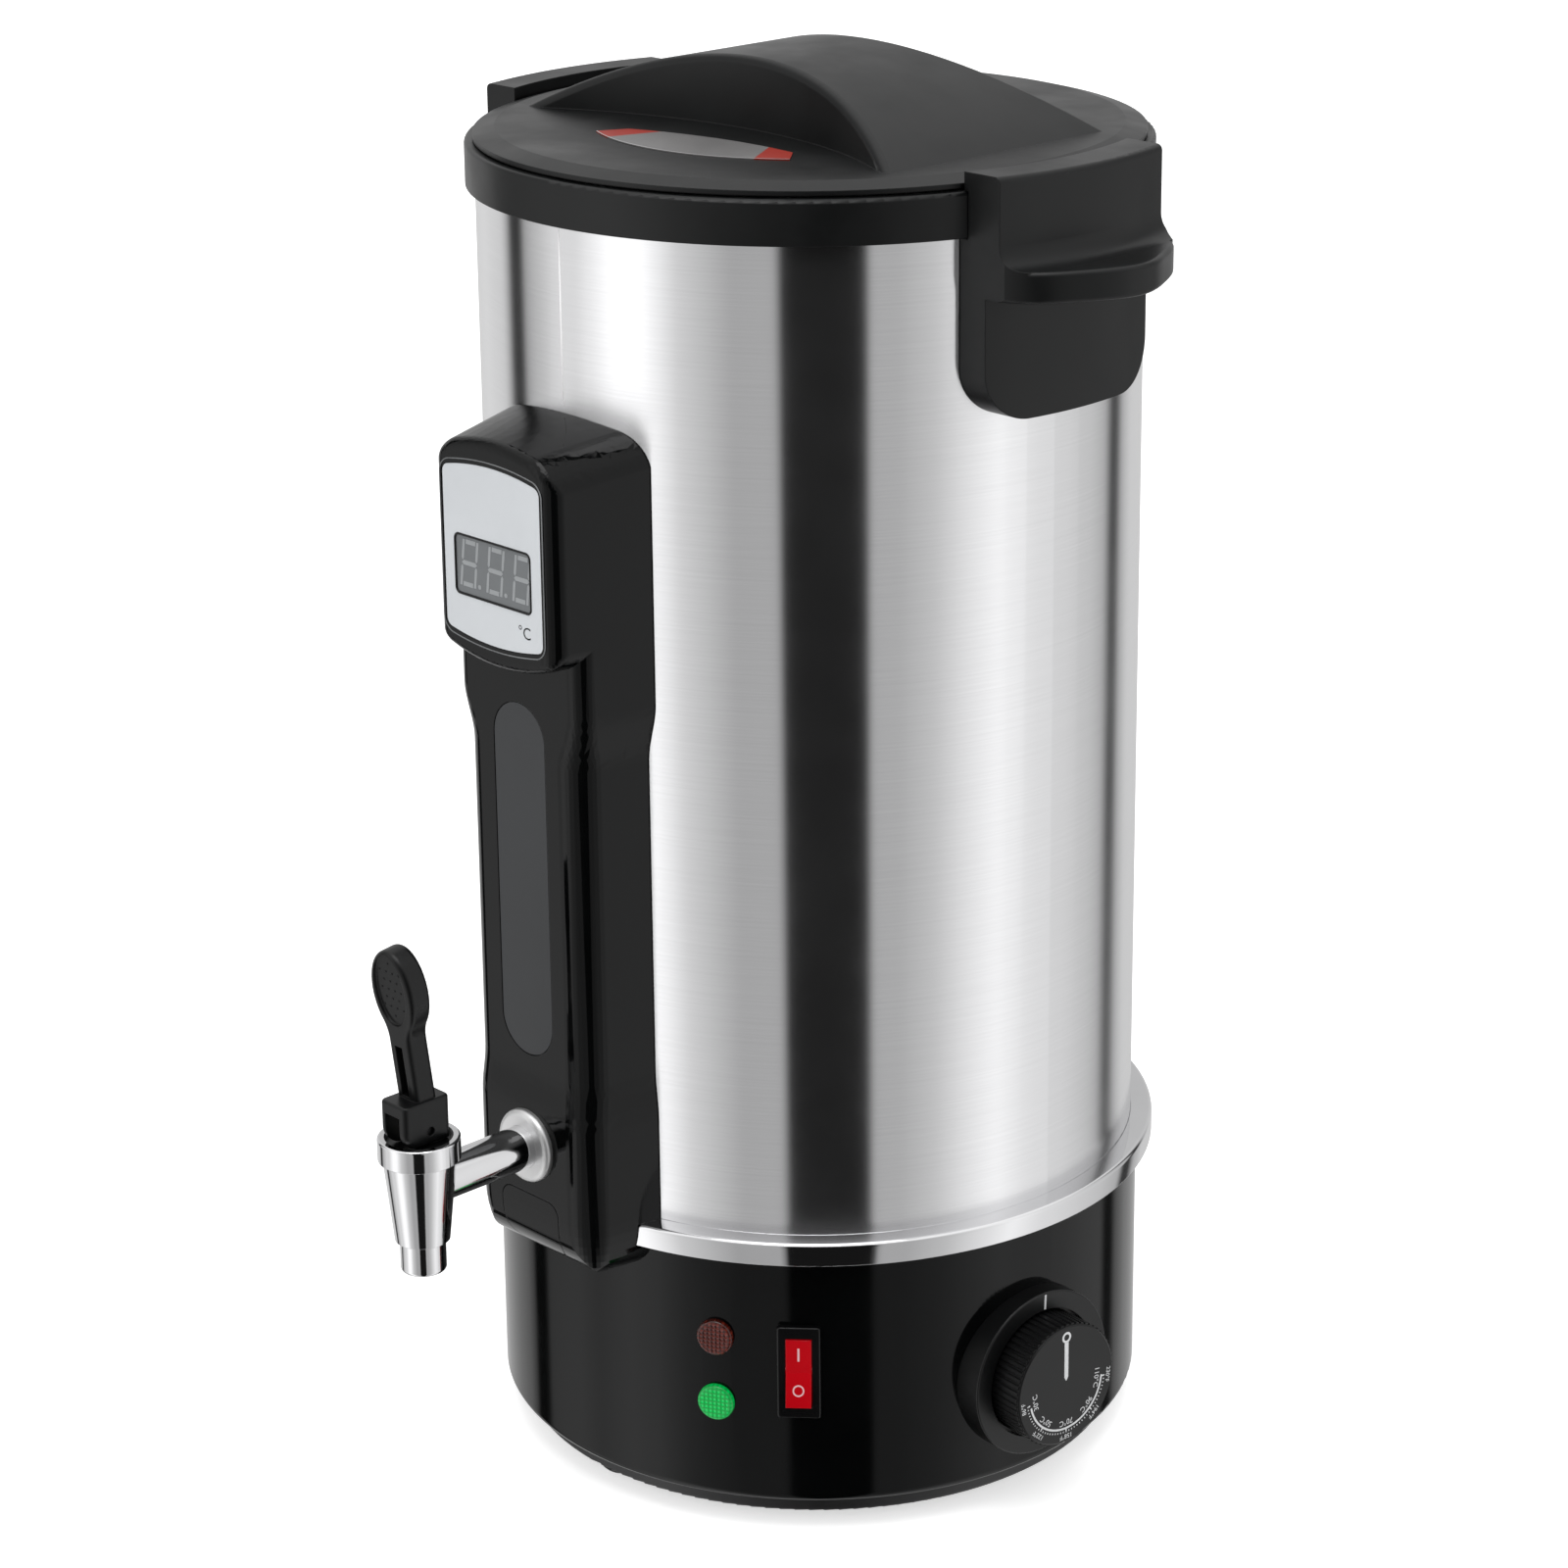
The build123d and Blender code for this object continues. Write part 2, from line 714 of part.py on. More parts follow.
def grip_cove_ring():
    """Hollow rounding that leads the block's face into the grip's top."""
    outer = handle_block_radius + grip_cove
    top = grip_top + grip_cove
    middle = grip_cove * (1 - sqrt(0.5))
    face = make_face([
        ThreePointArc((handle_block_radius, top),
                      (handle_block_radius + middle, grip_top + middle), (outer, grip_top)),
        Polyline((outer, grip_top), (outer, grip_top - past),
                 (handle_block_radius - past, grip_top - past),
                 (handle_block_radius - past, top), (handle_block_radius, top)),
    ])
    return revolve(Plane.XZ * face, Axis.Z)


def handle_front(reach):
    """The handle seen along X: upright sides, rounded lower corners."""
    tall = handle_top - handle_bottom
    face = Pos(0, handle_bottom + tall / 2) * Rectangle(2 * handle_half_width, tall)
    low_corners = [(-handle_half_width, handle_bottom), (handle_half_width, handle_bottom)]
    face = softened(face, low_corners, handle_corner)
    return Plane.YZ * extrude(face, reach)


def make_handle():
    """Right-hand handle: plate, upper block with its lip over the ring, and grip."""
    front = handle_front(grip_reach)
    plate = drum(handle_plate_radius, handle_bottom, handle_top)
    block = drum(handle_block_radius, grip_bottom, handle_top)
    block = fillet(block.edges().group_by(Axis.Z)[-1], handle_edge)
    body = (plate + block) & front
    grip = Pos(0, 0, grip_bottom) * extrude(grip_outline(), grip_thickness)
    rims = grip.edges().filter_by(lambda edge: edge.center().X > handle_block_radius)
    grip = fillet(rims, grip_edge)
    cove = Pos(0, 0, grip_bottom) * extrude(grip_outline(), grip_thickness + grip_cove)
    body = body + grip + (grip_cove_ring() & cove)
    body -= drum(barrel_radius + panel_gap, handle_bottom - past, handle_top + past)
    body -= drum(ring_radius + panel_gap, ring_bottom - panel_gap, ring_top + panel_gap)
    body -= drum(handle_lip_radius, ring_top, handle_top + past)
    for place in handle_screw_places():
        body -= place * Cylinder(handle_screw_radius, 2 * handle_screw_length)
    return body


def handle_screw_places():
    """Where the handles' screws pass the barrel."""
    height = barrel_top - handle_screw_drop
    swing = degrees(handle_screw_spread / barrel_radius)
    azimuths = [side + step for side in (90, -90) for step in (-swing / 2, swing / 2)]
    return [outward(azimuth, barrel_inner, height) for azimuth in azimuths]


def barrel_screws(places, head_radius, head_height, shank_radius, length):
    """Screws from inside the barrel, with heads that seat on its round wall."""
    screws = []
    for place in places:
        head = Pos(0, 0, -head_height) * Cylinder(head_radius, 2 * head_height, align=upright)
        head = (place * head) & drum(barrel_inner, barrel_bottom, barrel_top)
        shank = Pos(0, 0, -head_height / 2) * Cylinder(shank_radius, length, align=upright)
        screws.append(head + place * shank)
    return together(screws)


def make_handle_screws():
    """Screws from inside the barrel into both handles."""
    places = handle_screw_places()
    return barrel_screws(places, handle_screw_head_radius, handle_screw_head, handle_screw_radius,
                         handle_screw_length)


# --- shroud ---
def shroud_half(depth):
    """Half the casing's width at a depth; its sides draw in towards the front."""
    draft = (shroud_back_half - shroud_front_half) / (head_depth - shroud_back_depth)
    return shroud_back_half + draft * (shroud_back_depth - depth)


def shroud_section(size, inset):
    """Level section from the barrel to its rounded front corners."""
    depth, extra, corner = size
    back = shroud_root
    front = depth - inset
    half_back = shroud_half(back) + extra - inset
    half_front = shroud_half(front) + extra - inset
    face = make_face(Polyline((-half_back, -back), (half_back, -back),
                              (half_front, -front), (-half_front, -front), close=True))
    return softened(face, [(half_front, -front), (-half_front, -front)], corner - inset)


def shroud_prism(size, inset, low, high):
    """A stretch of the casing with one section."""
    return Pos(0, 0, low) * extrude(shroud_section(size, inset), high - low)


def shroud_blend(lower, upper, inset, low, high):
    """A stretch of the casing that changes softly from one section to another."""
    sections = []
    for step in range(blend_steps + 1):
        share = step / blend_steps
        blend = share * share * (3 - 2 * share)
        size = [a + blend * (b - a) for a, b in zip(lower, upper)]
        sections.append(Pos(0, 0, low + share * (high - low)) * shroud_section(size, inset))
    return loft(sections)


def shroud_column(inset):
    """The column below the head, between its proud foot and its soft neck."""
    foot = (toe_depth, toe_extra - column_narrow, column_corner)
    slim = (column_depth, -column_narrow, column_corner)
    wide = (column_depth, 0, shroud_corner)
    column = shroud_prism(foot, inset, shroud_bottom + inset, toe_low)
    column += shroud_blend(foot, slim, inset, toe_low, toe_high)
    column += shroud_prism(slim, inset, toe_high, neck_low)
    column += shroud_blend(slim, wide, inset, neck_low, neck_high)
    return column + shroud_prism(wide, inset, neck_high, shroud_crown)


def shroud_toe(inset):
    """Side view that rounds the column's bottom towards the base."""
    low = shroud_bottom + inset
    front = toe_depth - inset
    face = make_face(Polyline((-front, low), (0, low), (0, shroud_crown), (-front, shroud_crown),
                              close=True))
    face = softened(face, [(-front, low)], toe_rounding - inset)
    return extrude(Plane.YZ * face, shroud_back_half + toe_rounding, both=True)


def between_fronts(outline):
    """Runs a front view from the casing's back to its front, changing with the depth."""
    faces = [Plane.XZ * Pos(0, 0, depth) * outline(depth)
             for depth in (shroud_root - past, head_depth + past)]
    return loft(faces)


def shroud_underside(inset):
    """What the rounding of the foot's lower side edges takes away."""
    low = shroud_bottom + inset

    def foot_outline(depth):
        half = shroud_half(depth) + toe_extra - column_narrow + edge_play - inset
        face = Pos(0, low + toe_corner) * Rectangle(2 * half, 2 * toe_corner)
        return softened(face, [(-half, low), (half, low)], toe_corner - inset)

    reach = shroud_back_half + toe_rounding
    below = slab(-reach, reach, -head_depth, 0, low - past, low + toe_corner)
    return below - between_fronts(foot_outline)


def shroud_front(inset, low, low_side, corner):
    """Everything inside the casing's front view, below its arched and sloping roof."""
    def outline(depth):
        half = shroud_half(depth) + edge_play - inset
        drop = (depth - shroud_back_depth) * tan(radians(shroud_slope))
        crown = shroud_crown - inset - drop
        side = shroud_shoulder - inset - drop
        face = make_face([
            ThreePointArc((-half, side), (0, crown), (half, side)),
            Line((half, side), (half, low_side)),
            ThreePointArc((half, low_side), (0, low), (-half, low_side)),
            Line((-half, low_side), (-half, side)),
        ])
        face = softened(face, [(half, side), (-half, side)], shroud_top_corner - inset)
        return softened(face, [(half, low_side), (-half, low_side)], corner)

    return between_fronts(outline)


def shroud_head(inset):
    """The display's box, arched above and below."""
    box = shroud_prism((head_depth, 0, shroud_corner), inset, head_low, shroud_crown + past)
    head = box & shroud_front(inset, head_low + inset, head_low_side + inset, head_low_corner - inset)
    rims = head.edges().filter_by(lambda edge: edge.center().Y < inset + panel_gap - head_depth)
    rims = rims.filter_by(lambda edge: abs(edge.tangent_at(0.5).Z) < 0.9)
    return fillet(rims, head_edge - inset / 2)


def shroud_form(inset):
    """The shroud's outer shape, or with an inset the space inside its walls."""
    column = shroud_column(inset) & shroud_toe(inset)
    column -= shroud_underside(inset)
    column = column & shroud_front(inset, 0, past, past / 2)
    return column + shroud_head(inset)


def front_outline(width, low, high, corner, arch=0.0):
    """An upright rounded outline on the shroud's front, arched above and below."""
    half = width / 2
    if arch > 0:
        face = make_face([
            ThreePointArc((-half, high), (0, high + arch), (half, high)),
            Line((half, high), (half, low)),
            ThreePointArc((half, low), (0, low - arch), (-half, low)),
            Line((-half, low), (-half, high)),
        ])
    else:
        face = Pos(0, (low + high) / 2) * Rectangle(width, high - low)
    corners = [(-half, low), (half, low), (half, high), (-half, high)]
    return softened(face, corners, corner)


def front_prism(face, near, far):
    """Runs an outline on the front from one depth to another."""
    return Pos(0, -near, 0) * (Plane.XZ * extrude(face, far - near))


def plate_outline(gap):
    """Outline of the display's plate, or of its recess."""
    low = plate_centre - plate_side_height / 2 - gap
    high = plate_centre + plate_side_height / 2 + gap
    return front_outline(plate_width + 2 * gap, low, high, plate_corner, plate_arch)


def window_outline(gap):
    """Outline of the display's window, or of its hole."""
    half = window_height / 2 + gap
    return front_outline(window_width + 2 * gap, window_centre - half, window_centre + half,
                         window_corner)


def inlay_outline(gap):
    """Outline of the long strip, or of its recess."""
    slot = SlotOverall(inlay_high - inlay_low + 2 * gap, inlay_width + 2 * gap)
    return Pos(0, (inlay_low + inlay_high) / 2) * Rot(0, 0, 90) * slot


def cover_outline(gap):
    """Outline of the lower cover, or of its recess."""
    return front_outline(cover_width + 2 * gap, cover_low - gap, cover_high + gap, cover_corner)


def barrel_clearance():
    """The barrel, band and base that the shroud stands against."""
    rim = panel_gap
    return (drum(barrel_radius + rim, base_top - past, shroud_crown + shroud_back_half)
            + drum(band_radius + rim, base_top - rim, band_top + rim)
            + drum(base_radius + rim, 0, base_top))


def make_shroud():
    """Front casing that covers the tap's fitting and holds the display."""
    shell = shroud_form(0) - shroud_form(shroud_wall)
    shell += shroud_posts()
    shell -= barrel_clearance()
    shell -= front_prism(plate_outline(panel_gap / 2), head_depth - plate_thickness, head_depth + past)
    shell -= front_prism(window_outline(panel_gap), head_depth - module_depth, head_depth + past)
    shell -= front_prism(inlay_outline(panel_gap), column_depth - inlay_thickness,
                         column_depth + past)
    recess = front_prism(cover_outline(panel_gap), base_radius + past, toe_depth + past)
    shell -= recess - shroud_form(cover_thickness)
    shell -= outward(0, toe_depth, tap_height) * Cylinder(shank_radius, through)
    return shell - shroud_screw_holes()


def shroud_posts():
    """Posts inside the shroud that its screws hold."""
    posts = Part()
    for height in shroud_screw_heights:
        near = barrel_radius - past
        far = column_depth - shroud_wall / 2
        posts += outward(0, near, height) * Cylinder(post_radius, far - near, align=upright)
    return posts


def shroud_screw_holes():
    """Pilot holes for the screws from inside the barrel."""
    holes = Part()
    for height in shroud_screw_heights:
        holes += outward(0, barrel_inner, height) * Cylinder(
            shroud_screw_radius, shroud_screw_length + past, align=upright)
    return holes


def make_shroud_screws():
    """Screws from inside the barrel into the shroud's posts."""
    places = [outward(0, barrel_inner, height) for height in shroud_screw_heights]
    return barrel_screws(places, shroud_screw_head_radius, shroud_screw_head, shroud_screw_radius,
                         shroud_screw_length)


def make_inlay():
    """Satin strip set in the column's front."""
    return front_prism(inlay_outline(0), column_depth - inlay_thickness, column_depth - set_back)


def make_shroud_cover():
    """Small cover that follows the rounded toe of the shroud."""
    skin = shroud_form(0) - shroud_form(cover_thickness)
    return skin & front_prism(cover_outline(0), base_radius + past, toe_depth + past)


def make_display_plate():
    """Plate around the display's window."""
    back = head_depth - plate_thickness
    plate = front_prism(plate_outline(0), back, head_depth - set_back)
    return plate - front_prism(window_outline(panel_gap), back - past, head_depth + past)


def make_display_window():
    """Tinted window in front of the digits."""
    front = head_depth - panel_gap
    return front_prism(window_outline(0), front - window_thickness, front)


def make_display_module():
    """Display block behind the window, with its circuit board."""
    front = head_depth - panel_gap - window_thickness
    half_wide = window_width / 2 - module_inset
    half_tall = window_height / 2 - module_inset
    block = slab(-half_wide, half_wide, -front, -front + module_depth,
                 window_centre - half_tall, window_centre + half_tall)
    board_front = -front + module_depth
    board = slab(-half_wide - board_margin, half_wide + board_margin, board_front,
                 board_front + board_thickness, window_centre - half_tall - board_margin,
                 window_centre + half_tall + board_margin)
    return block + board


def make_probe():
    """Temperature probe through the pot's wall, with its head between pot and barrel."""
    place = outward(0, pot_radius, probe_height)
    head = place * Cylinder(probe_head_radius, barrel_radius - pot_radius, align=upright)
    tip = place * (Pos(0, 0, -probe_reach) * Cylinder(probe_radius, probe_reach, align=upright))
    return head - drum(pot_radius, 0, barrel_top) + tip


# --- tap ---
def make_tap_body():
    """Cup with its outlet and the hollow shank that runs into the pot."""
    axis_y = -tap_distance
    rim_low = cup_top - cup_rim_height
    cup = turned([(0, outlet_bottom), (outlet_radius, outlet_bottom),
                  (outlet_radius, cup_waist_height), (cup_waist_radius, cup_waist_height),
                  (cup_shoulder_radius, rim_low), (cup_rim_radius, rim_low),
                  (cup_rim_radius, cup_top), (0, cup_top)])
    cup = fillet(cup.edges().group_by(Axis.Z)[-1], cup_rim_edge)
    cup = fillet(cup.edges().group_by(Axis.Z)[0], outlet_edge)
    cup = Pos(0, axis_y, 0) * cup
    shank = outward(0, shank_reach, tap_height) * Cylinder(
        shank_radius, tap_distance - shank_reach, align=upright)
    body = cup + shank
    body -= drum(outlet_bore, outlet_bottom - past, seat_height - seat_depth, 0, axis_y)
    body -= drum(seat_radius, outlet_bottom, seat_height + past, 0, axis_y)
    body -= drum(chamber_radius, seat_height, cup_top, 0, axis_y)
    body -= drum(bonnet_radius, bonnet_bottom, cup_top + past, 0, axis_y)
    return body - outward(0, shank_reach - past, tap_height) * Cylinder(
        shank_bore, tap_distance - shank_reach + past, align=upright)


def make_tap_washer():
    """Domed washer where the shank leaves the shroud."""
    washer = Cylinder(washer_radius, washer_thickness, align=upright)
    washer = fillet(washer.edges().group_by(Axis.Z)[-1], washer_edge)
    washer -= Cylinder(shank_radius, through)
    return outward(0, toe_depth, tap_height) * washer


def make_tap_seal():
    """Silicone washer against the pot's inner wall."""
    seal = outward(0, pot_inner - seal_thickness, tap_height) * Cylinder(
        seal_radius, seal_thickness + past, align=upright)
    seal &= drum(pot_inner, pot_bottom, barrel_top)
    return seal - outward(0, pot_inner, tap_height) * Cylinder(shank_radius, through)


def make_tap_nut():
    """Nut on the shank inside the pot."""
    nut = hexagon(nut_flats, 0, nut_thickness) - Cylinder(shank_radius, through)
    return outward(0, pot_inner - seal_thickness - nut_thickness, tap_height) * nut


def make_bonnet():
    """Threaded plug in the cup that guides the stem."""
    axis_y = -tap_distance
    plug = drum(bonnet_radius, bonnet_bottom, bonnet_top, 0, axis_y)
    return plug - drum(stem_radius + running_gap, bonnet_bottom - past, bonnet_top + past, 0, axis_y)


def make_plunger():
    """Stem with the lever's eye above and a disc for the seal below."""
    axis_y = -tap_distance
    stem = drum(stem_radius, disc_bottom, pin_height - eye_radius / 2, 0, axis_y)
    disc = drum(seal_cup_radius - seal_cup_wall, disc_bottom, disc_bottom + disc_thickness, 0, axis_y)
    eye_bar = slab(-eye_half_width, eye_half_width, axis_y - stem_radius, axis_y + stem_radius,
                   bonnet_top + 2 * panel_gap, pin_height)
    eye = Pos(0, axis_y, pin_height) * Rot(0, 90, 0) * Cylinder(eye_radius, 2 * eye_half_width)
    plunger = stem + disc + eye_bar + eye
    return plunger - Pos(0, axis_y, pin_height) * Rot(0, 90, 0) * Cylinder(
        pin_radius + running_gap, 4 * eye_half_width)


def make_plunger_seal():
    """Silicone cup that closes the seat."""
    axis_y = -tap_distance
    low = seal_bottom
    cup = drum(seal_cup_radius, low, low + seal_cup_height, 0, axis_y)
    cup -= drum(seal_cup_radius - seal_cup_wall, disc_bottom, low + seal_cup_height + past, 0, axis_y)
    nose = turned([(0, low - seal_nose), (seat_radius - seal_nose_gap - 1, low - seal_nose),
                   (seat_radius - seal_nose_gap, low), (0, low)])
    return cup + Pos(0, axis_y, 0) * nose


def make_spring():
    """Return spring between the seal's disc and the bonnet."""
    low = seal_bottom + seal_cup_height + spring_wire_radius
    high = bonnet_bottom - spring_wire_radius
    path = Helix(pitch=(high - low) / spring_turns, height=high - low, radius=spring_coil_radius)
    section = Plane(origin=path @ 0, z_dir=path % 0) * Circle(spring_wire_radius)
    coil = sweep(section, path=path, is_frenet=True)
    return Pos(0, -tap_distance, low) * coil


def make_lever_pin():
    """Cross pin through the lever's block and the plunger's eye."""
    return Pos(0, -tap_distance, pin_height) * Rot(0, 90, 0) * Cylinder(
        pin_radius, lever_block_width - 2 * pin_inset)


def lever_paddle():
    """Neck and paddle, upright, with the window in the neck and the dished front."""
    centre = lever_paddle_centre
    head_radius = lever_paddle_width / 2
    neck_low = lever_block_top - lever_neck_edge
    neck = Pos(0, (neck_low + centre) / 2) * Rectangle(lever_neck_width, centre - neck_low)
    head = Pos(0, centre) * Ellipse(head_radius, lever_top - centre)
    face = neck + head
    inner_corners = face.vertices().filter_by(
        lambda corner: lever_block_top < corner.Y < centre)
    face = fillet(inner_corners, lever_shoulder)
    paddle = Plane.XZ * extrude(face, lever_neck_thickness / 2, both=True)
    edges = paddle.edges().filter_by(
        lambda edge: abs(edge.center().Y) > lever_neck_edge and edge.center().Z > lever_block_top)
    paddle = fillet(edges, lever_neck_edge)
    window_low = lever_block_top + lever_window_rise
    window = Pos(0, window_low + lever_window_height / 2) * Rectangle(
        lever_window_width, lever_window_height)
    paddle -= Plane.XZ * extrude(window, lever_neck_thickness, both=True)
    dish = Ellipse(lever_dish_half_width, lever_dish_half_height)
    dish = extrude(dish, lever_dish_depth + past)
    dish = fillet(dish.edges().group_by(Axis.Z)[0], lever_dish_edge)
    front = lever_neck_thickness / 2 - lever_dish_depth
    return paddle - Plane.XZ * Pos(0, lever_block_top + lever_dish_rise, front) * dish


def lever_block():
    """The block, whose toe is rounded to roll on the bonnet."""
    low = bonnet_top + panel_gap
    side = make_face(Polyline((-lever_block_front, low), (lever_block_back, low),
                              (lever_block_back, lever_block_top),
                              (-lever_block_front, lever_block_top), close=True))
    side = softened(side, [(-lever_block_front, low)], lever_toe)
    block = extrude(Plane.YZ * side, lever_block_width / 2, both=True)
    block = fillet(block.edges().filter_by(Axis.Z), lever_block_edge)
    return fillet(block.edges().group_by(Axis.Z)[-1], lever_crown_edge)


def make_lever():
    """Tap lever: a block that straddles the eye, and the paddle above it."""
    low = bonnet_top + panel_gap
    foot_high = cup_top + panel_gap
    around = lever_block_front + lever_block_back
    block = lever_block()
    block -= drum(around, low - past, foot_high) - drum(lever_foot_radius, low - past, foot_high)
    lean = Pos(0, 0, lever_block_top) * Rot(lever_lean, 0, 0) * Pos(0, 0, -lever_block_top)
    lever = block + lean * lever_paddle()
    lever -= slab(-lever_slot_half, lever_slot_half, -around, around, low - past, lever_slot_top)
    lever -= Pos(0, 0, pin_height) * Rot(0, 90, 0) * Cylinder(pin_radius, 2 * lever_block_width)
    return Pos(0, -tap_distance, 0) * lever


# --- controls on the base ---
def seated(shape, radius):
    """Trims the back of a flat piece to the round wall that it sits on."""
    return shape - drum(radius, 0, base_top)


def make_lens(height):
    """Round lens with a faceted front, proud of the base shell."""
    lens = Cylinder(lens_radius, lens_rise, align=upright)
    lens = fillet(lens.edges().group_by(Axis.Z)[-1], lens_edge)
    stem = Pos(0, 0, -lens_stem_length) * Cylinder(
        lens_stem_radius, lens_stem_length + lens_rise / 2, align=upright)
    shape = outward(lamp_azimuth, base_radius, height) * lens
    return seated(shape, base_radius) + outward(lamp_azimuth, base_radius, height) * stem


def make_lamp_holders():
    """Lamp bodies behind the two lenses."""
    holders = []
    for height in (red_lamp_height, green_lamp_height):
        body = Pos(0, 0, -lamp_body_length) * Cylinder(
            lamp_body_radius, lamp_body_length - panel_gap, align=upright)
        body -= Pos(0, 0, -lens_stem_length) * Cylinder(lens_stem_radius, through, align=upright)
        holders.append(outward(lamp_azimuth, base_radius, height) * body)
    return together(holders)


def make_switch_housing():
    """Switch body with its bezel, open in front for the rocker."""
    bezel = Pos(0, 0, bezel_rise / 2 - past / 2) * Box(bezel_width, bezel_height, bezel_rise + past)
    bezel = fillet(bezel.edges().filter_by(Axis.Z), bezel_corner)
    bezel = fillet(bezel.edges().group_by(Axis.Z)[-1], bezel_edge)
    place = outward(switch_azimuth, base_radius, switch_height)
    bezel = seated(place * bezel, base_radius)
    body = place * (Pos(0, 0, -switch_body_depth / 2) * Box(
        switch_body_width, switch_body_height, switch_body_depth))
    opening = Box(rocker_width + 2 * panel_gap, rocker_height + 2 * rocker_end_gap,
                  2 * (rocker_pit() + bezel_rise))
    housing = bezel + body - place * opening
    axle = Rot(0, 90, 0) * Cylinder(rocker_axle_radius + running_gap,
                                    rocker_width + 2 * rocker_axle_length + 4 * panel_gap)
    return housing - place * axle


def rocker_pit():
    """Depth of the switch's opening behind the shell's surface."""
    return rocker_depth + rocker_height / 2 * sin(radians(2 * rocker_tilt)) + panel_gap


def make_rocker():
    """Rocker with its upper end pressed in; it tips about its middle."""
    half = rocker_height / 2
    front = bezel_rise + rocker_rise
    back = -rocker_depth
    heel = back + rocker_chamfer
    sole = half - rocker_chamfer_run
    face = make_face(Polyline((-half, front), (0, front - rocker_dip), (half, front), (half, heel),
                              (sole, back), (-sole, back), (-half, heel), close=True))
    face = face & Circle(half + rocker_end_gap / 2)
    rocker = Plane.YZ * extrude(face, rocker_width / 2, both=True)
    axle = Rot(0, 90, 0) * Cylinder(rocker_axle_radius, rocker_width + 2 * rocker_axle_length)
    rocker = Rot(-rocker_tilt, 0, 0) * rocker + axle
    return outward(switch_azimuth, base_radius, switch_height) * rocker


def make_dial_plate():
    """Round plate behind the knob, hollowed to sit on the base shell."""
    place = outward(dial_azimuth, 0, dial_height)
    near = sqrt(base_radius ** 2 - dial_radius ** 2) - past
    plate = Pos(0, 0, near) * Cylinder(dial_radius, dial_front - near, align=upright)
    plate = fillet(plate.edges().group_by(Axis.Z)[-1], dial_edge)
    plate -= Pos(0, 0, dial_front - dial_well) * Cylinder(dial_well_radius, through, align=upright)
    plate = seated(place * plate, base_radius)
    boss = place * (Pos(0, 0, thermostat_front) * Cylinder(
        dial_boss_radius, dial_front - dial_well - thermostat_front - past, align=upright))
    hole = place * (Pos(0, 0, base_radius) * Cylinder(shaft_radius + running_gap, 2 * through))
    return plate + boss - hole


def make_knob():
    """Fluted knob with a flat face."""
    back = dial_front - dial_well + panel_gap
    depth = knob_front - back
    fluted = Circle(knob_radius)
    flutes = PolarLocations(knob_radius, knob_flute_count)
    fluted -= [place * Circle(knob_flute_radius) for place in flutes]
    knob = extrude(fluted, depth - knob_face_edge)
    disc = Cylinder(knob_radius - knob_flute_radius, depth, align=upright)
    knob += chamfer(disc.edges().group_by(Axis.Z)[-1], knob_face_edge / 2)
    knob -= Pos(0, 0, -past) * Cylinder(shaft_radius, knob_grip + past, align=upright)
    return outward(dial_azimuth, back, dial_height) * knob


def make_thermostat_shaft():
    """Shaft that the knob is pressed on."""
    near = thermostat_front - shaft_depth
    length = dial_front - dial_well + panel_gap + knob_grip - near
    return outward(dial_azimuth, near, dial_height) * Cylinder(shaft_radius, length, align=upright)


def make_thermostat():
    """Thermostat's box behind the dial plate."""
    box = Pos(0, 0, -thermostat_depth / 2) * Box(thermostat_width, thermostat_width, thermostat_depth)
    box = fillet(box.edges().filter_by(Axis.Z), thermostat_edge)
    box -= Pos(0, 0, -shaft_depth - panel_gap) * Cylinder(
        shaft_radius + running_gap, thermostat_depth, align=upright)
    return outward(dial_azimuth, thermostat_front, dial_height) * box


# --- heating and wiring inside the base ---
def make_heat_plate():
    """Aluminium plate pressed against the pot's floor."""
    plate = drum(heat_plate_radius, heat_plate_bottom, pot_bottom)
    return plate - drum(tie_thread_radius, heat_plate_bottom - past,
                        heat_plate_bottom + tie_thread_depth)


def make_element():
    """Ring heater below the plate, with its two connection tails."""
    level = heat_plate_bottom - element_radius
    gap = 360 - element_angle
    element = Pos(0, 0, level) * Torus(element_circle, element_radius)
    element -= wedge(90 + element_start, gap / 2, 2 * element_circle, level - 2 * element_radius,
                     level + 2 * element_radius)
    swing = gap / 2 + element_tail_angle
    for angle in (element_start - swing, element_start + swing):
        x = element_circle * cos(radians(angle))
        y = element_circle * sin(radians(angle))
        element += drum(element_tail_radius, level - element_tail, level, x, y)
    return element


def make_cutout():
    """Thermal cut-out under the heat plate."""
    low = heat_plate_bottom - cutout_height
    can = drum(cutout_radius, low, heat_plate_bottom, 0, cutout_place)
    tab = slab(-cutout_tab_half, cutout_tab_half, cutout_place - cutout_tab_depth,
               cutout_place + cutout_tab_depth, heat_plate_bottom - cutout_tab_thickness,
               heat_plate_bottom)
    return can + tab


def bulb_axis():
    """Height of the bulb's axis below the heat plate."""
    return heat_plate_bottom - bulb_radius


def make_bulb():
    """Thermostat's bulb under the heat plate."""
    bulb = Rot(0, 90, 0) * Cylinder(bulb_radius, bulb_length)
    bulb = fillet(bulb.edges(), bulb_edge)
    return Pos(0, -bulb_place, bulb_axis()) * bulb


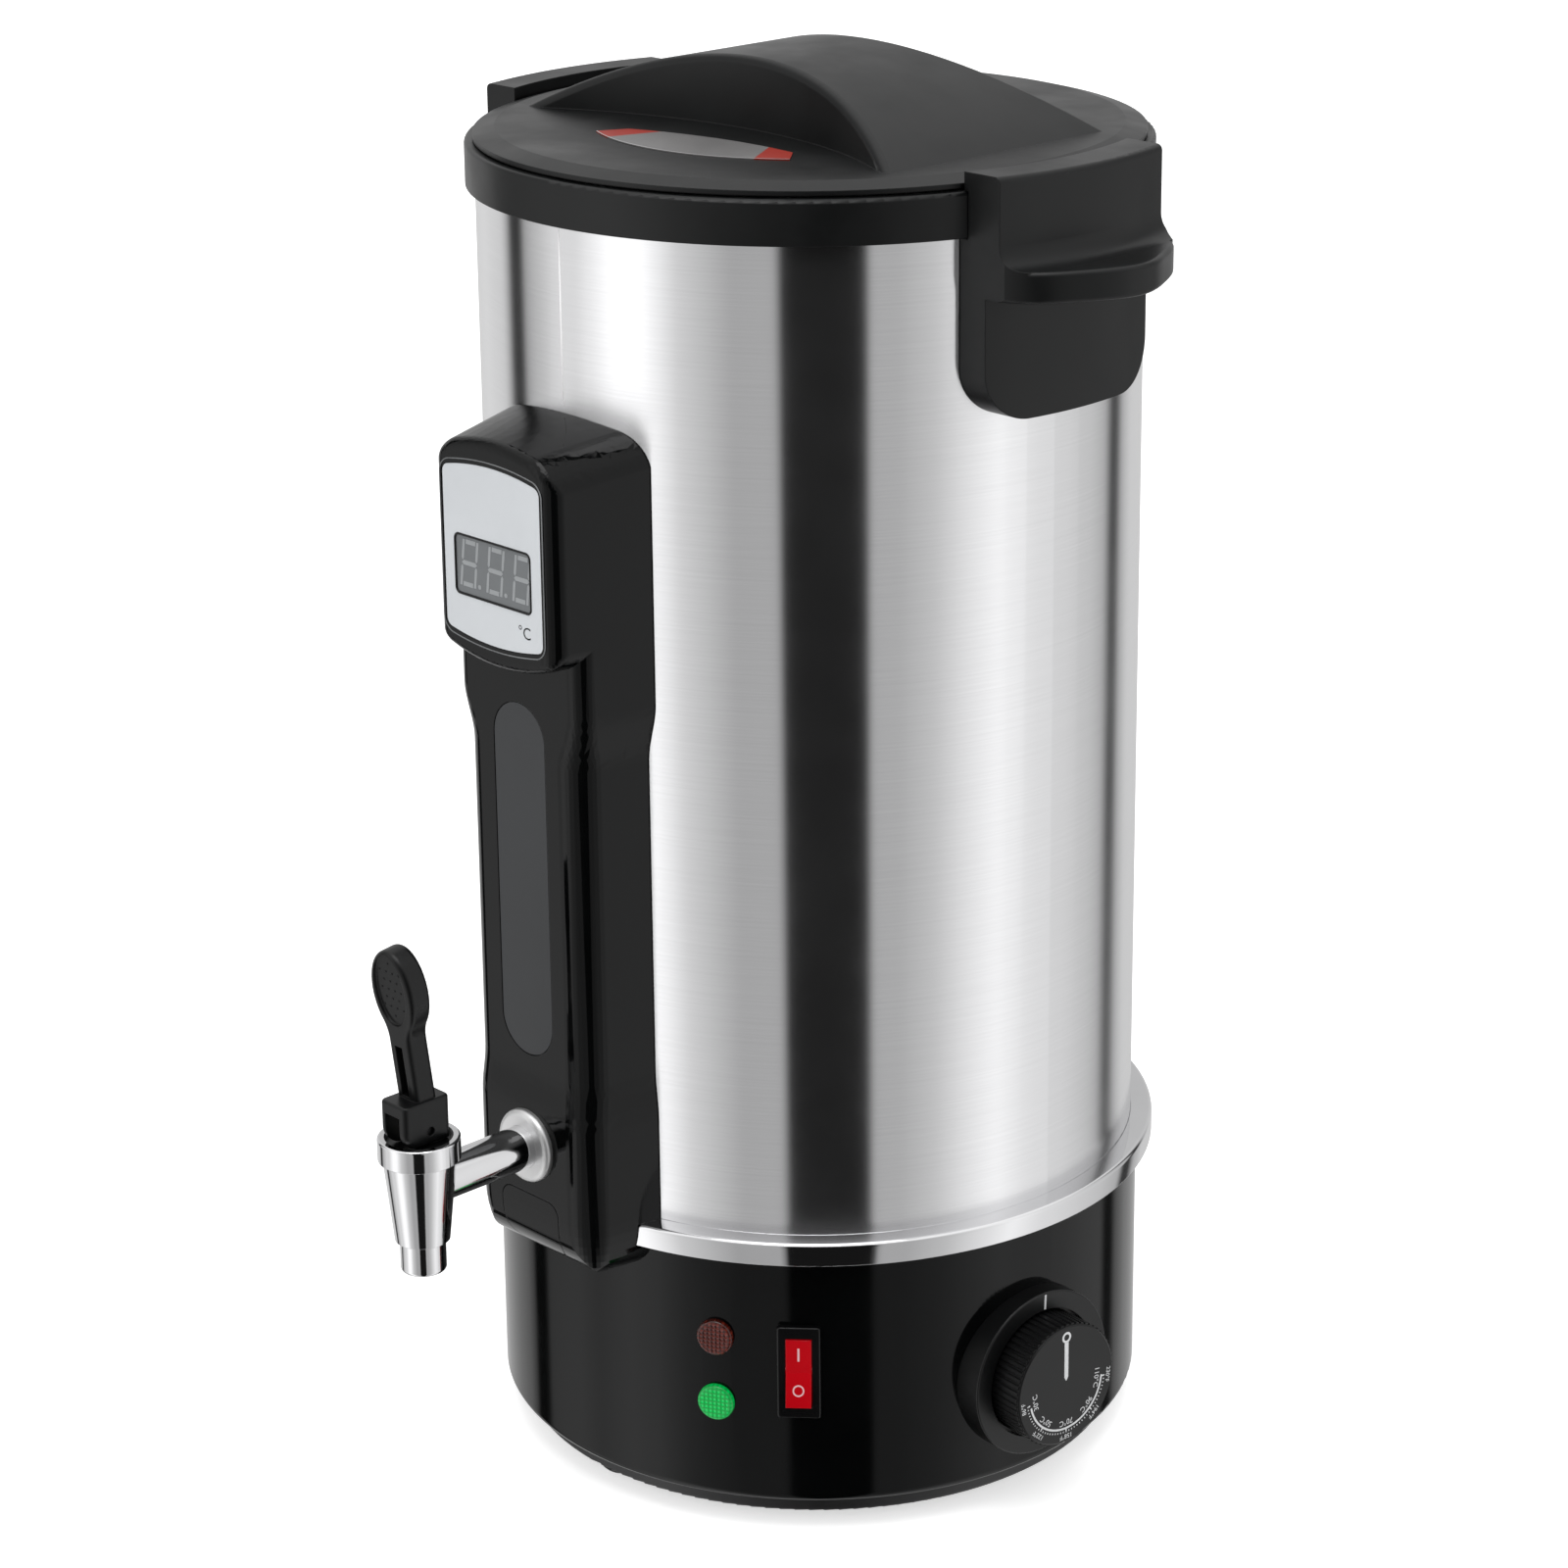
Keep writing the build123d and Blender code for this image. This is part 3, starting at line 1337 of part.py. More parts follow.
def make_capillary():
    """Thin tube from the thermostat's box to the bulb."""
    start_x = (thermostat_front - thermostat_depth / 2) * sin(radians(dial_azimuth))
    start_y = -(thermostat_front - thermostat_depth / 2) * cos(radians(dial_azimuth))
    box_top = dial_height + thermostat_width / 2
    below = heat_plate_bottom - 2 * element_radius - capillary_drop
    end_x = bulb_length / 2
    run = FilletPolyline(
        (start_x, start_y, box_top),
        (start_x, start_y, below - capillary_dip),
        (end_x + capillary_lead, -bulb_place, below - capillary_sag),
        (end_x + capillary_leave + capillary_slope, -bulb_place, below),
        (end_x + capillary_leave, -bulb_place, bulb_axis()),
        (end_x, -bulb_place, bulb_axis()),
        radius=capillary_bend,
    )
    section = Plane(origin=run @ 0, z_dir=run % 0) * Circle(capillary_radius)
    return sweep(section, path=run)


def make_tie_stud():
    """Stud from the heat plate down through the pan."""
    rod = drum(tie_radius, pan_bottom - tie_nut_height, heat_plate_bottom)
    return rod + drum(tie_thread_radius, pan_bottom, heat_plate_bottom + tie_thread_depth)


def make_tie_nut():
    """Nut that draws the pan up."""
    nut = hexagon(tie_nut_flats, pan_bottom - tie_nut_height, pan_bottom)
    return nut - drum(tie_radius, pan_bottom - tie_nut_height - past, pan_bottom + past)


def make_terminal_block():
    """Terminal block on the pan, with its row of screw wells."""
    low = pan_bottom + pan_wall
    half = terminal_length / 2
    block = slab(-half, half, terminal_place - terminal_width / 2, terminal_place + terminal_width / 2,
                 low, low + terminal_height)
    pitch = terminal_length / terminal_count
    top = low + terminal_height
    for step in range(terminal_count):
        x = -half + pitch * (step + 0.5)
        block -= drum(terminal_well_radius, top - terminal_well_depth, top + past, x, terminal_place)
    return block


def make_gland():
    """Cord gland at the back, with its nut inside the shell."""
    place = outward(180, base_radius, gland_height)
    cap = Cylinder(gland_radius, gland_rise, align=upright)
    cap = fillet(cap.edges().group_by(Axis.Z)[-1], gland_edge)
    cap = seated(place * cap, base_radius)
    barrel = place * (Pos(0, 0, -gland_inside) * Cylinder(
        gland_barrel_radius, gland_inside + past, align=upright))
    nut = hexagon(gland_nut_flats, 0, gland_nut_height)
    nut = place * (Pos(0, 0, -base_wall - gland_nut_height - gland_nut_gap) * nut)
    return cap + barrel + nut - place * Cylinder(gland_bore, through)


def make_all():
    """Every sub-part by its node's name."""
    handle = make_handle()
    badge = badge_form()
    return {
        "feet": make_feet(),
        "foot_screws": make_foot_screws(),
        "base_pan": make_base_pan(),
        "base_shell": make_base_shell(),
        "trim_band": make_trim_band(),
        "outer_barrel": make_barrel(),
        "inner_pot": make_pot(),
        "rim_ring": make_rim_ring(),
        "handle_right": handle,
        "handle_left": mirror(handle, Plane.YZ),
        "handle_screws": make_handle_screws(),
        "shroud": make_shroud(),
        "shroud_cover": make_shroud_cover(),
        "shroud_inlay": make_inlay(),
        "shroud_screws": make_shroud_screws(),
        "display_plate": make_display_plate(),
        "display_window": make_display_window(),
        "display_module": make_display_module(),
        "temperature_probe": make_probe(),
        "tap_body": make_tap_body(),
        "tap_washer": make_tap_washer(),
        "tap_seal": make_tap_seal(),
        "tap_nut": make_tap_nut(),
        "tap_bonnet": make_bonnet(),
        "tap_plunger": make_plunger(),
        "plunger_seal": make_plunger_seal(),
        "tap_spring": make_spring(),
        "tap_lever": make_lever(),
        "lever_pin": make_lever_pin(),
        "red_lens": make_lens(red_lamp_height),
        "green_lens": make_lens(green_lamp_height),
        "lamp_holders": make_lamp_holders(),
        "switch_housing": make_switch_housing(),
        "switch_rocker": make_rocker(),
        "dial_plate": make_dial_plate(),
        "thermostat_knob": make_knob(),
        "thermostat_shaft": make_thermostat_shaft(),
        "thermostat_box": make_thermostat(),
        "thermostat_bulb": make_bulb(),
        "capillary_tube": make_capillary(),
        "heat_plate": make_heat_plate(),
        "heating_element": make_element(),
        "thermal_cutout": make_cutout(),
        "tie_stud": make_tie_stud(),
        "tie_nut": make_tie_nut(),
        "terminal_block": make_terminal_block(),
        "cord_gland": make_gland(),
        "lid_shell": make_lid_shell(),
        "lid_gasket": make_lid_gasket(),
        "lid_badge": badge & badge_middle(),
        "lid_badge_ends": together([badge - badge_middle()]),
        "lid_stud": make_lid_stud(),
        "drip_plate": make_drip_plate(),
    }


def main():
    """Writes one STEP file for each sub-part."""
    os.makedirs("parts", exist_ok=True)
    for node, shape in make_all().items():
        shape.label = node
        export_step(shape, f"parts/{node}.step")


if __name__ == "__main__":
    main()
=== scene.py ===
import json
from math import atan, cos, hypot, pi, radians, sin, sqrt, tan

import bmesh
import bpy
from mathutils import Matrix, Vector


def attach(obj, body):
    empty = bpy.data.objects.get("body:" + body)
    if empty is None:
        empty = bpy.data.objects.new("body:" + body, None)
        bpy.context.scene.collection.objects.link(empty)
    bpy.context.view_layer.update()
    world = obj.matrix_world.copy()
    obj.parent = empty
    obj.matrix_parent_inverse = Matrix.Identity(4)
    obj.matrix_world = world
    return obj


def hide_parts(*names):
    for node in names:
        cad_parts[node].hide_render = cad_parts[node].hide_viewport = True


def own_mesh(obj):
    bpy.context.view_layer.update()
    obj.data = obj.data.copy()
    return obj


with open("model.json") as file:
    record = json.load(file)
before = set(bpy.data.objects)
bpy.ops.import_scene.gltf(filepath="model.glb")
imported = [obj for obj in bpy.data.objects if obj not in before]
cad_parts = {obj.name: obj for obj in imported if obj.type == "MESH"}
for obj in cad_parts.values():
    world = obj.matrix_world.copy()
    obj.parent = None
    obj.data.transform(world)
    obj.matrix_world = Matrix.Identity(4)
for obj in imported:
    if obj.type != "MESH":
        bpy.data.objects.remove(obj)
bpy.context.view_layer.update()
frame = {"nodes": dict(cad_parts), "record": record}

mm = 0.001                # sizes below are in millimetres unless a note says otherwise
weld = 0.002 * mm         # points closer than this become one
curveSteps = 3            # how finely letters and beads are rounded
scene = bpy.context.scene
record = frame["record"]
nodes = frame["nodes"]


def outward(azimuth, distance, height):
    # a place on the round body: local X to the right, Y up and Z away from the barrel's axis
    turn = radians(azimuth)
    across = Vector((cos(turn), sin(turn), 0))
    away = Vector((sin(turn), -cos(turn), 0))
    spot = Matrix((across, Vector((0, 0, 1)), away)).transposed().to_4x4()
    spot.translation = (away * distance + Vector((0, 0, height))) * mm
    return spot


def front(depth):
    return outward(0, depth, 0)


# the two signal lamps come first, because their finish follows the lens's azimuth;
# cells is how many cells of the lens's pattern go to a metre
lamps = dict(azimuth=28.2, front=114.2, heights=dict(red=70.1, green=46.3), radius=4.7,
             pitch=1.45, rise=0.55, cells=690)

# what all finishes share: the noise's used range and detail, its clouds per metre, the relief's
# strength, and the brushing's turn as a share of a full one
surface = dict(ior=1.5, noiseLow=0.3, noiseHigh=0.7, noiseDetail=3.0, noiseRough=0.55, cloud=35,
               bump=0.5, edgeSamples=4, brushTurn=0.25)


def link(tree, start, end):
    tree.links.new(start, end)


def objectPattern(tree, stretch=(1, 1, 1), turn=(0, 0, 0)):
    coords = tree.nodes.new("ShaderNodeTexCoord")
    mapping = tree.nodes.new("ShaderNodeMapping")
    mapping.inputs["Scale"].default_value = stretch
    mapping.inputs["Rotation"].default_value = turn
    link(tree, coords.outputs["Object"], mapping.inputs["Vector"])
    return mapping.outputs["Vector"]


def noise(tree, vector, scale):
    node = tree.nodes.new("ShaderNodeTexNoise")
    node.inputs["Scale"].default_value = scale
    node.inputs["Detail"].default_value = surface["noiseDetail"]
    node.inputs["Roughness"].default_value = surface["noiseRough"]
    link(tree, vector, node.inputs["Vector"])
    return node.outputs["Fac"]


def stretched(tree, value, fromLow, fromHigh, toLow, toHigh):
    node = tree.nodes.new("ShaderNodeMapRange")
    node.inputs["From Min"].default_value = fromLow
    node.inputs["From Max"].default_value = fromHigh
    node.inputs["To Min"].default_value = toLow
    node.inputs["To Max"].default_value = toHigh
    link(tree, value, node.inputs["Value"])
    return node.outputs["Result"]


def spread(tree, value, low, high):
    return stretched(tree, value, surface["noiseLow"], surface["noiseHigh"], low, high)


def tint(tree, factor, dark, pale):
    node = tree.nodes.new("ShaderNodeMix")
    node.data_type = "RGBA"
    node.inputs[6].default_value = (*dark, 1)
    node.inputs[7].default_value = (*pale, 1)
    link(tree, factor, node.inputs[0])
    return node.outputs[2]


# the lens's facets, painted: a painted highlight in the middle of each, painted shade between
# them
facetLightPaint = dict(middle=0.15, border=0.55, pale=1.3)


def paintFacetLight(tree, colour, dark):
    cells = tree.nodes.new("ShaderNodeTexVoronoi")
    cells.inputs["Scale"].default_value = lamps["cells"]
    cells.inputs["Randomness"].default_value = 0.0
    pattern = objectPattern(tree, turn=(0, 0, radians(-lamps["azimuth"])))
    link(tree, pattern, cells.inputs["Vector"])
    level = stretched(tree, cells.outputs["Distance"], facetLightPaint["middle"], facetLightPaint["border"],
                      facetLightPaint["pale"], dark)
    shaded = tree.nodes.new("ShaderNodeVectorMath")
    shaded.operation = "SCALE"
    link(tree, colour, shaded.inputs[0])
    link(tree, level, shaded.inputs["Scale"])
    return shaded.outputs["Vector"]


# the finishes by the record's names, then those of the added details. In each: the colour and
# its share of change, roughness and its change, the grain's fineness per metre, its height and
# its stretch, and edge, the width over which edges catch the light
looks = {
    "barrel_steel": dict(colour=(0.80, 0.80, 0.81), shift=0.022, rough=0.17, worn=0.010,
                         metal=1.0, grain=3.0, height=0.0006, stretch=(8, 8, 900),
                         brushed=0.95, edge=0),
    "pot_steel": dict(colour=(0.72, 0.72, 0.72), shift=0.06, rough=0.30, worn=0.06, metal=1.0,
                      grain=6.0, height=0.004, stretch=(6, 6, 300), edge=0.2),
    "gloss_black": dict(colour=(0.0016, 0.0018, 0.0019), shift=0.2, rough=0.085, worn=0.02,
                        shine=0.22, grain=90, height=0.006, edge=0.35),
    "satin_black": dict(colour=(0.0036, 0.0040, 0.0042), shift=0.30, rough=0.36, worn=0.06,
                        shine=0.30, grain=1500, height=0.020, edge=0.5),
    "tap_black": dict(colour=(0.0038, 0.0040, 0.0042), shift=0.25, rough=0.30, worn=0.07,
                      shine=0.28, grain=1100, height=0.014, edge=0.5),
    "dial_black": dict(colour=(0.0030, 0.0032, 0.0034), shift=0.2, rough=0.34, worn=0.05,
                       shine=0.35, grain=1800, height=0.008, edge=0.25),
    "switch_black": dict(colour=(0.0035, 0.0035, 0.0038), shift=0.2, rough=0.16, worn=0.03,
                         shine=0.3, grain=400, height=0.006, edge=0.25),
    "pan_black": dict(colour=(0.012, 0.012, 0.013), shift=0.25, rough=0.40, worn=0.08,
                      grain=900, height=0.02, edge=0.3),
    "gland_black": dict(colour=(0.010, 0.010, 0.010), shift=0.25, rough=0.5, worn=0.08,
                        grain=1300, height=0.015, edge=0.3),
    "foot_rubber": dict(colour=(0.012, 0.012, 0.012), shift=0.3, rough=0.7, worn=0.1,
                        grain=1600, height=0.03, edge=0.2),
    "chrome": dict(colour=(0.74, 0.74, 0.75), shift=0.02, rough=0.06, worn=0.02, metal=1.0,
                   grain=60, height=0.003, edge=0.25),
    "washer_grey": dict(colour=(0.80, 0.80, 0.80), shift=0.08, rough=0.46, worn=0.08, metal=1.0,
                        grain=700, height=0.006, edge=0.25),
    "steel": dict(colour=(0.56, 0.56, 0.56), shift=0.1, rough=0.28, worn=0.08, metal=1.0,
                  grain=900, height=0.006, edge=0.15),
    "aluminium": dict(colour=(0.66, 0.66, 0.67), shift=0.08, rough=0.36, worn=0.08, metal=1.0,
                      grain=700, height=0.008, edge=0.2),
    "brass": dict(colour=(0.62, 0.46, 0.20), shift=0.1, rough=0.25, worn=0.08, metal=1.0,
                  grain=600, height=0.006, edge=0.15),
    "copper_tube": dict(colour=(0.58, 0.29, 0.16), shift=0.15, rough=0.3, worn=0.1, metal=1.0,
                        grain=500, height=0.006, edge=0.1),
    "silicone": dict(colour=(0.62, 0.61, 0.58), shift=0.06, rough=0.55, worn=0.08,
                     grain=900, height=0.01, edge=0.2),
    "plunger_plastic": dict(colour=(0.70, 0.70, 0.67), shift=0.05, rough=0.4, worn=0.06,
                            grain=900, height=0.01, edge=0.2),
    "inlay_grey": dict(colour=(0.028, 0.030, 0.033), shift=0.12, rough=0.42, worn=0.04,
                       grain=2400, height=0.012, edge=0.1),
    "display_silver": dict(colour=(0.69, 0.715, 0.74), shift=0.03, rough=0.42, worn=0.05,
                           grain=2600, height=0.006, edge=0.1),
    "display_smoke": dict(colour=(0.155, 0.165, 0.172), shift=0.08, rough=0.12, worn=0.03,
                          grain=220, height=0.003, edge=0.1),
    "module_black": dict(colour=(0.03, 0.03, 0.03), shift=0.2, rough=0.5, worn=0.05,
                         grain=900, height=0.01, edge=0.1),
    # on the lamps, cells is the level of the painted shade between the lens's facets
    "red_lamp": dict(colour=(0.15, 0.018, 0.009), shift=0.35, rough=0.10, worn=0.04,
                     grain=500, height=0.01, edge=0, cells=0.25),
    "green_lamp": dict(colour=(0.0, 0.34, 0.07), shift=0.35, rough=0.10, worn=0.04,
                       grain=500, height=0.01, edge=0, cells=0.30, glow=(0.0, 0.80, 0.11),
                       power=0.24),
    "lamp_white": dict(colour=(0.78, 0.78, 0.76), shift=0.04, rough=0.4, worn=0.05,
                       grain=900, height=0.006, edge=0),
    "rocker_red": dict(colour=(0.42, 0.002, 0.006), shift=0.12, rough=0.10, worn=0.02,
                       grain=260, height=0.004, edge=0.25, glow=(0.6, 0.0, 0.008), power=0.12),
    "badge_silver": dict(colour=(0.21, 0.205, 0.205), shift=0.06, rough=0.35, worn=0.06,
                         metal=0.3, grain=1800, height=0.004, edge=0.1),
    "badge_red": dict(colour=(0.30, 0.022, 0.012), shift=0.12, rough=0.35, worn=0.06,
                      grain=1800, height=0.004, edge=0.1),
    # painted shade on the lever pin, for the hole it sits in
    "pin_painted_shade": dict(colour=(0.05, 0.05, 0.05), shift=0.2, rough=0.5, worn=0.08, metal=1.0,
                     grain=700, height=0.006, edge=0),
    # the weld seam's pale colour and glow are a painted highlight
    "seam_painted_highlight": dict(colour=(0.74, 0.74, 0.74), shift=0.06, rough=0.45, worn=0.08,
                        grain=900, height=0.006, edge=0, glow=(1, 1, 1), power=0.40),
    "bead_grey": dict(colour=(0.16, 0.165, 0.17), shift=0.3, rough=0.22, worn=0.05,
                      grain=700, height=0.006, edge=0),
    "badge_rim": dict(colour=(0.50, 0.50, 0.50), shift=0.05, rough=0.35, worn=0.05,
                      grain=1800, height=0.004, edge=0),
    "mark_white": dict(colour=(0.72, 0.73, 0.74), shift=0.05, rough=0.45, worn=0.05,
                       grain=2200, height=0.004, edge=0),
    "mark_pink": dict(colour=(0.80, 0.50, 0.52), shift=0.05, rough=0.3, worn=0.05,
                      grain=900, height=0.004, edge=0),
    "segment_grey": dict(colour=(0.33, 0.345, 0.355), shift=0.05, rough=0.3, worn=0.05,
                         grain=900, height=0.003, edge=0),
}


def makeFinish(name, look):
    material = bpy.data.materials.new(name)
    material.use_nodes = True
    tree = material.node_tree
    shader = tree.nodes["Principled BSDF"]
    shader.inputs["Metallic"].default_value = look.get("metal", 0.0)
    shader.inputs["IOR"].default_value = surface["ior"]
    shader.inputs["Specular IOR Level"].default_value = look.get("shine", 0.5)
    cloud = noise(tree, objectPattern(tree), surface["cloud"])
    grain = noise(tree, objectPattern(tree, look.get("stretch", (1, 1, 1))), look["grain"])
    shift = look["shift"]
    dark = [channel * (1 - shift) for channel in look["colour"]]
    pale = [min(1.0, channel * (1 + shift)) for channel in look["colour"]]
    mixed = grain if "brushed" in look else cloud
    colour = tint(tree, spread(tree, mixed, 0, 1), dark, pale)
    # painted highlight and painted shade over the lens's facets
    if "cells" in look:
        colour = paintFacetLight(tree, colour, look["cells"])
    link(tree, colour, shader.inputs["Base Color"])
    rough, worn = look["rough"], look["worn"]
    link(tree, spread(tree, cloud, rough - worn, rough + worn), shader.inputs["Roughness"])
    bump = tree.nodes.new("ShaderNodeBump")
    bump.inputs["Strength"].default_value = surface["bump"]
    bump.inputs["Distance"].default_value = look["height"] * mm
    link(tree, grain, bump.inputs["Height"])
    if look["edge"]:
        rounded = tree.nodes.new("ShaderNodeBevel")
        rounded.samples = surface["edgeSamples"]
        rounded.inputs["Radius"].default_value = look["edge"] * mm
        link(tree, rounded.outputs["Normal"], bump.inputs["Normal"])
    link(tree, bump.outputs["Normal"], shader.inputs["Normal"])
    if "brushed" in look:         # brushed round the barrel, so lights draw out upright
        shader.inputs["Anisotropic"].default_value = look["brushed"]
        shader.inputs["Anisotropic Rotation"].default_value = surface["brushTurn"]
        tangent = tree.nodes.new("ShaderNodeTangent")
        tangent.direction_type = "RADIAL"
        tangent.axis = "Z"
        link(tree, tangent.outputs["Tangent"], shader.inputs["Tangent"])
    if "glow" in look:
        shader.inputs["Emission Color"].default_value = (*look["glow"], 1)
        shader.inputs["Emission Strength"].default_value = look["power"]
    return material


finishes = {name: makeFinish(name, look) for name, look in looks.items()}
for part in record["subparts"]:
    mesh = nodes[part["node"]].data
    mesh.materials.clear()
    mesh.materials.append(finishes[part["material_slot"]])
# the lever pin is painted dark: painted shade for the hole it sits in
nodes["lever_pin"].data.materials[0] = finishes["pin_painted_shade"]
print("finishes made:", len(finishes))


def addPiece(bm, name, finish, body, spot=None, smooth=False):
    bmesh.ops.remove_doubles(bm, verts=bm.verts, dist=weld)
    if spot is not None:
        bmesh.ops.transform(bm, matrix=spot, verts=bm.verts)
    bmesh.ops.recalc_face_normals(bm, faces=bm.faces)
    mesh = bpy.data.meshes.new(name)
    bm.to_mesh(mesh)
    bm.free()
    for face in mesh.polygons:
        face.use_smooth = smooth
    piece = bpy.data.objects.new(name, mesh)
    scene.collection.objects.link(piece)
    mesh.materials.append(finishes[finish])
    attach(piece, body)
    return piece


def lift(bm, faces, depth):
    # thickens flat faces along Z and gives back the new points
    grown = bmesh.ops.extrude_face_region(bm, geom=faces)["geom"]
    top = [item for item in grown if isinstance(item, bmesh.types.BMVert)]
    bmesh.ops.translate(bm, vec=(0, 0, depth * mm), verts=top)
    return top


def raised(bm, points, depth):
    # a flat outline with some thickness
    corners = [bm.verts.new((x * mm, y * mm, 0)) for x, y in points]
    return corners + lift(bm, [bm.faces.new(corners)], depth)


def bandArc(bm, inner, outer, start, sweep, depth, steps, base=0.0):
    # a flat curved stroke: one cross-section spun about Z
    before = set(bm.verts)
    turn = radians(start)
    corners = [(inner, base), (outer, base), (outer, base + depth), (inner, base + depth)]
    section = [bm.verts.new((r * cos(turn) * mm, r * sin(turn) * mm, z * mm)) for r, z in corners]
    face = bm.faces.new(section)
    edges = list(face.edges)
    if abs(sweep) >= 360:
        bm.faces.remove(face)
        bmesh.ops.spin(bm, geom=section + edges, cent=(0, 0, 0), axis=(0, 0, 1), dvec=(0, 0, 0),
                       angle=2 * pi, steps=steps, use_merge=True, use_duplicate=False)
    else:
        bmesh.ops.spin(bm, geom=[face] + section + edges, cent=(0, 0, 0), axis=(0, 0, 1),
                       dvec=(0, 0, 0), angle=radians(sweep), steps=steps, use_merge=False,
                       use_duplicate=False)
    return [v for v in bm.verts if v not in before]


def meshOf(curve):
    # text and curves are made a mesh before their place is applied
    holder = bpy.data.objects.new(curve.name, curve)
    scene.collection.objects.link(holder)
    depsgraph = bpy.context.evaluated_depsgraph_get()
    flat = bpy.data.meshes.new_from_object(holder.evaluated_get(depsgraph))
    bpy.data.objects.remove(holder)
    return flat


def lettering(bm, text, size, depth, spot):
    curve = bpy.data.curves.new("lettering", "FONT")
    curve.body = text
    curve.size = size * mm
    curve.extrude = depth * mm / 2
    curve.align_x = "CENTER"
    curve.align_y = "CENTER"
    curve.resolution_u = curveSteps
    flat = meshOf(curve)
    flat.transform(spot)
    bm.from_mesh(flat)
    bpy.data.meshes.remove(flat)


def archedOutline(rim, steps=10):
    # upright sides, arched top and bottom, rounded corners: right side first, then round
    halfWide, corner = rim["halfWide"], rim["corner"]
    quarter = []
    for k in range(steps + 1):
        turn = pi / 2 * k / steps
        quarter.append((halfWide - corner + corner * cos(turn), corner * sin(turn) - corner))
    for k in range(1, steps):
        quarter.append(((halfWide - corner) * (1 - k / steps), 0))
    quarter = [(x, y + rim["arch"] * (1 - (x / halfWide) ** 2)) for x, y in quarter]
    right = [(x, rim["high"] + y) for x, y in quarter]
    top = right + [(-x, y) for x, y in reversed(right)]
    return top + [(-x, rim["low"] + rim["high"] - y) for x, y in top]


# the beads round the label and round its window, and the mark under the window
labelBead = dict(halfWide=24.7, low=308.2, high=363.8, arch=2.9, corner=4.2, radius=0.22,
                 front=140.02)
windowBead = dict(halfWide=18.3, low=321.2, high=340.8, arch=0.02, corner=1.9, radius=0.42,
                  front=139.8)
degree = dict(text="°C", size=5.7, thick=0.06, across=14.8, height=314.4, front=139.9)


def makeBead(bead, name, finish):
    curve = bpy.data.curves.new(name, "CURVE")
    curve.dimensions = "3D"
    curve.bevel_depth = bead["radius"] * mm
    curve.bevel_resolution = curveSteps
    outline = archedOutline(bead)
    spline = curve.splines.new("POLY")
    spline.points.add(len(outline) - 1)
    for knot, (x, y) in zip(spline.points, outline):
        knot.co = (x * mm, y * mm, 0, 1)
    spline.use_cyclic_u = True
    flat = meshOf(curve)
    bm = bmesh.new()
    bm.from_mesh(flat)
    bpy.data.meshes.remove(flat)
    addPiece(bm, name, finish, "housing", front(bead["front"]), smooth=True)


def makeDegreeMark():
    bm = bmesh.new()
    spot = Matrix.Translation((degree["across"] * mm, degree["height"] * mm, 0))
    lettering(bm, degree["text"], degree["size"], degree["thick"], spot)
    addPiece(bm, "degree_mark", "gloss_black", "housing", front(degree["front"]))


# the unlit digits; row, middle, tip, inset and upright are shares of a bar's width, and slant
# is in degrees
digit = dict(front=139.7, proud=0.05, height=15.6, width=8.0, bar=1.5, slant=7.0,
             centres=(-11.6, 1.2, 13.9), level=331.7, row=1.1, middle=0.75, tip=0.55,
             inset=0.42, upright=0.36, gap=0.7, point=0.8, trim=0.1,
             dotRadius=0.75, dotAcross=4.75, dotDown=6.8, dotSteps=20)


def makeDigit(bm, centre):
    g = digit
    halfHigh, halfWide, bar = g["height"] / 2, g["width"] / 2, g["bar"]
    made = []
    for row in (-1, 0, 1):
        y = row * (halfHigh - bar / 2)
        reach = halfWide - bar * (g["row"] if row else g["middle"])
        tip = 0 if row else bar * g["tip"]
        made += raised(bm, [(-reach, y - bar / 2), (reach, y - bar / 2), (reach + tip, y),
                            (reach, y + bar / 2), (-reach, y + bar / 2), (-reach - tip, y)],
                       g["proud"])
    for side in (-1, 1):
        for level in (-1, 1):
            x = side * (halfWide - bar * g["inset"])
            w = bar * g["upright"]
            inner = level * g["gap"]
            shoulder = level * (g["gap"] + g["point"])
            outer = level * (halfHigh - g["trim"])
            made += raised(bm, [(x - w, shoulder), (x, inner), (x + w, shoulder), (x + w, outer),
                                (x - w, outer)], g["proud"])
    lean = Matrix.Identity(4)
    lean[0][1] = tan(radians(g["slant"]))
    place = Matrix.Translation((centre * mm, g["level"] * mm, 0))
    bmesh.ops.transform(bm, matrix=place @ lean, verts=made)
    dotPlace = ((centre + g["dotAcross"]) * mm, (g["level"] - g["dotDown"]) * mm, 0)
    dot = bmesh.ops.create_circle(bm, cap_ends=True, radius=g["dotRadius"] * mm,
                                  segments=g["dotSteps"],
                                  matrix=Matrix.Translation(dotPlace))["verts"]
    lift(bm, list({face for v in dot for face in v.link_faces}), g["proud"])


def makeDigits():
    bm = bmesh.new()
    for centre in digit["centres"]:
        makeDigit(bm, centre)
    addPiece(bm, "display_digits", "segment_grey", "housing",
             front(digit["front"]))


makeDigits()
makeBead(labelBead, "label_bead", "bead_grey")
makeBead(windowBead, "window_frame", "switch_black")
makeDegreeMark()
print("display made")


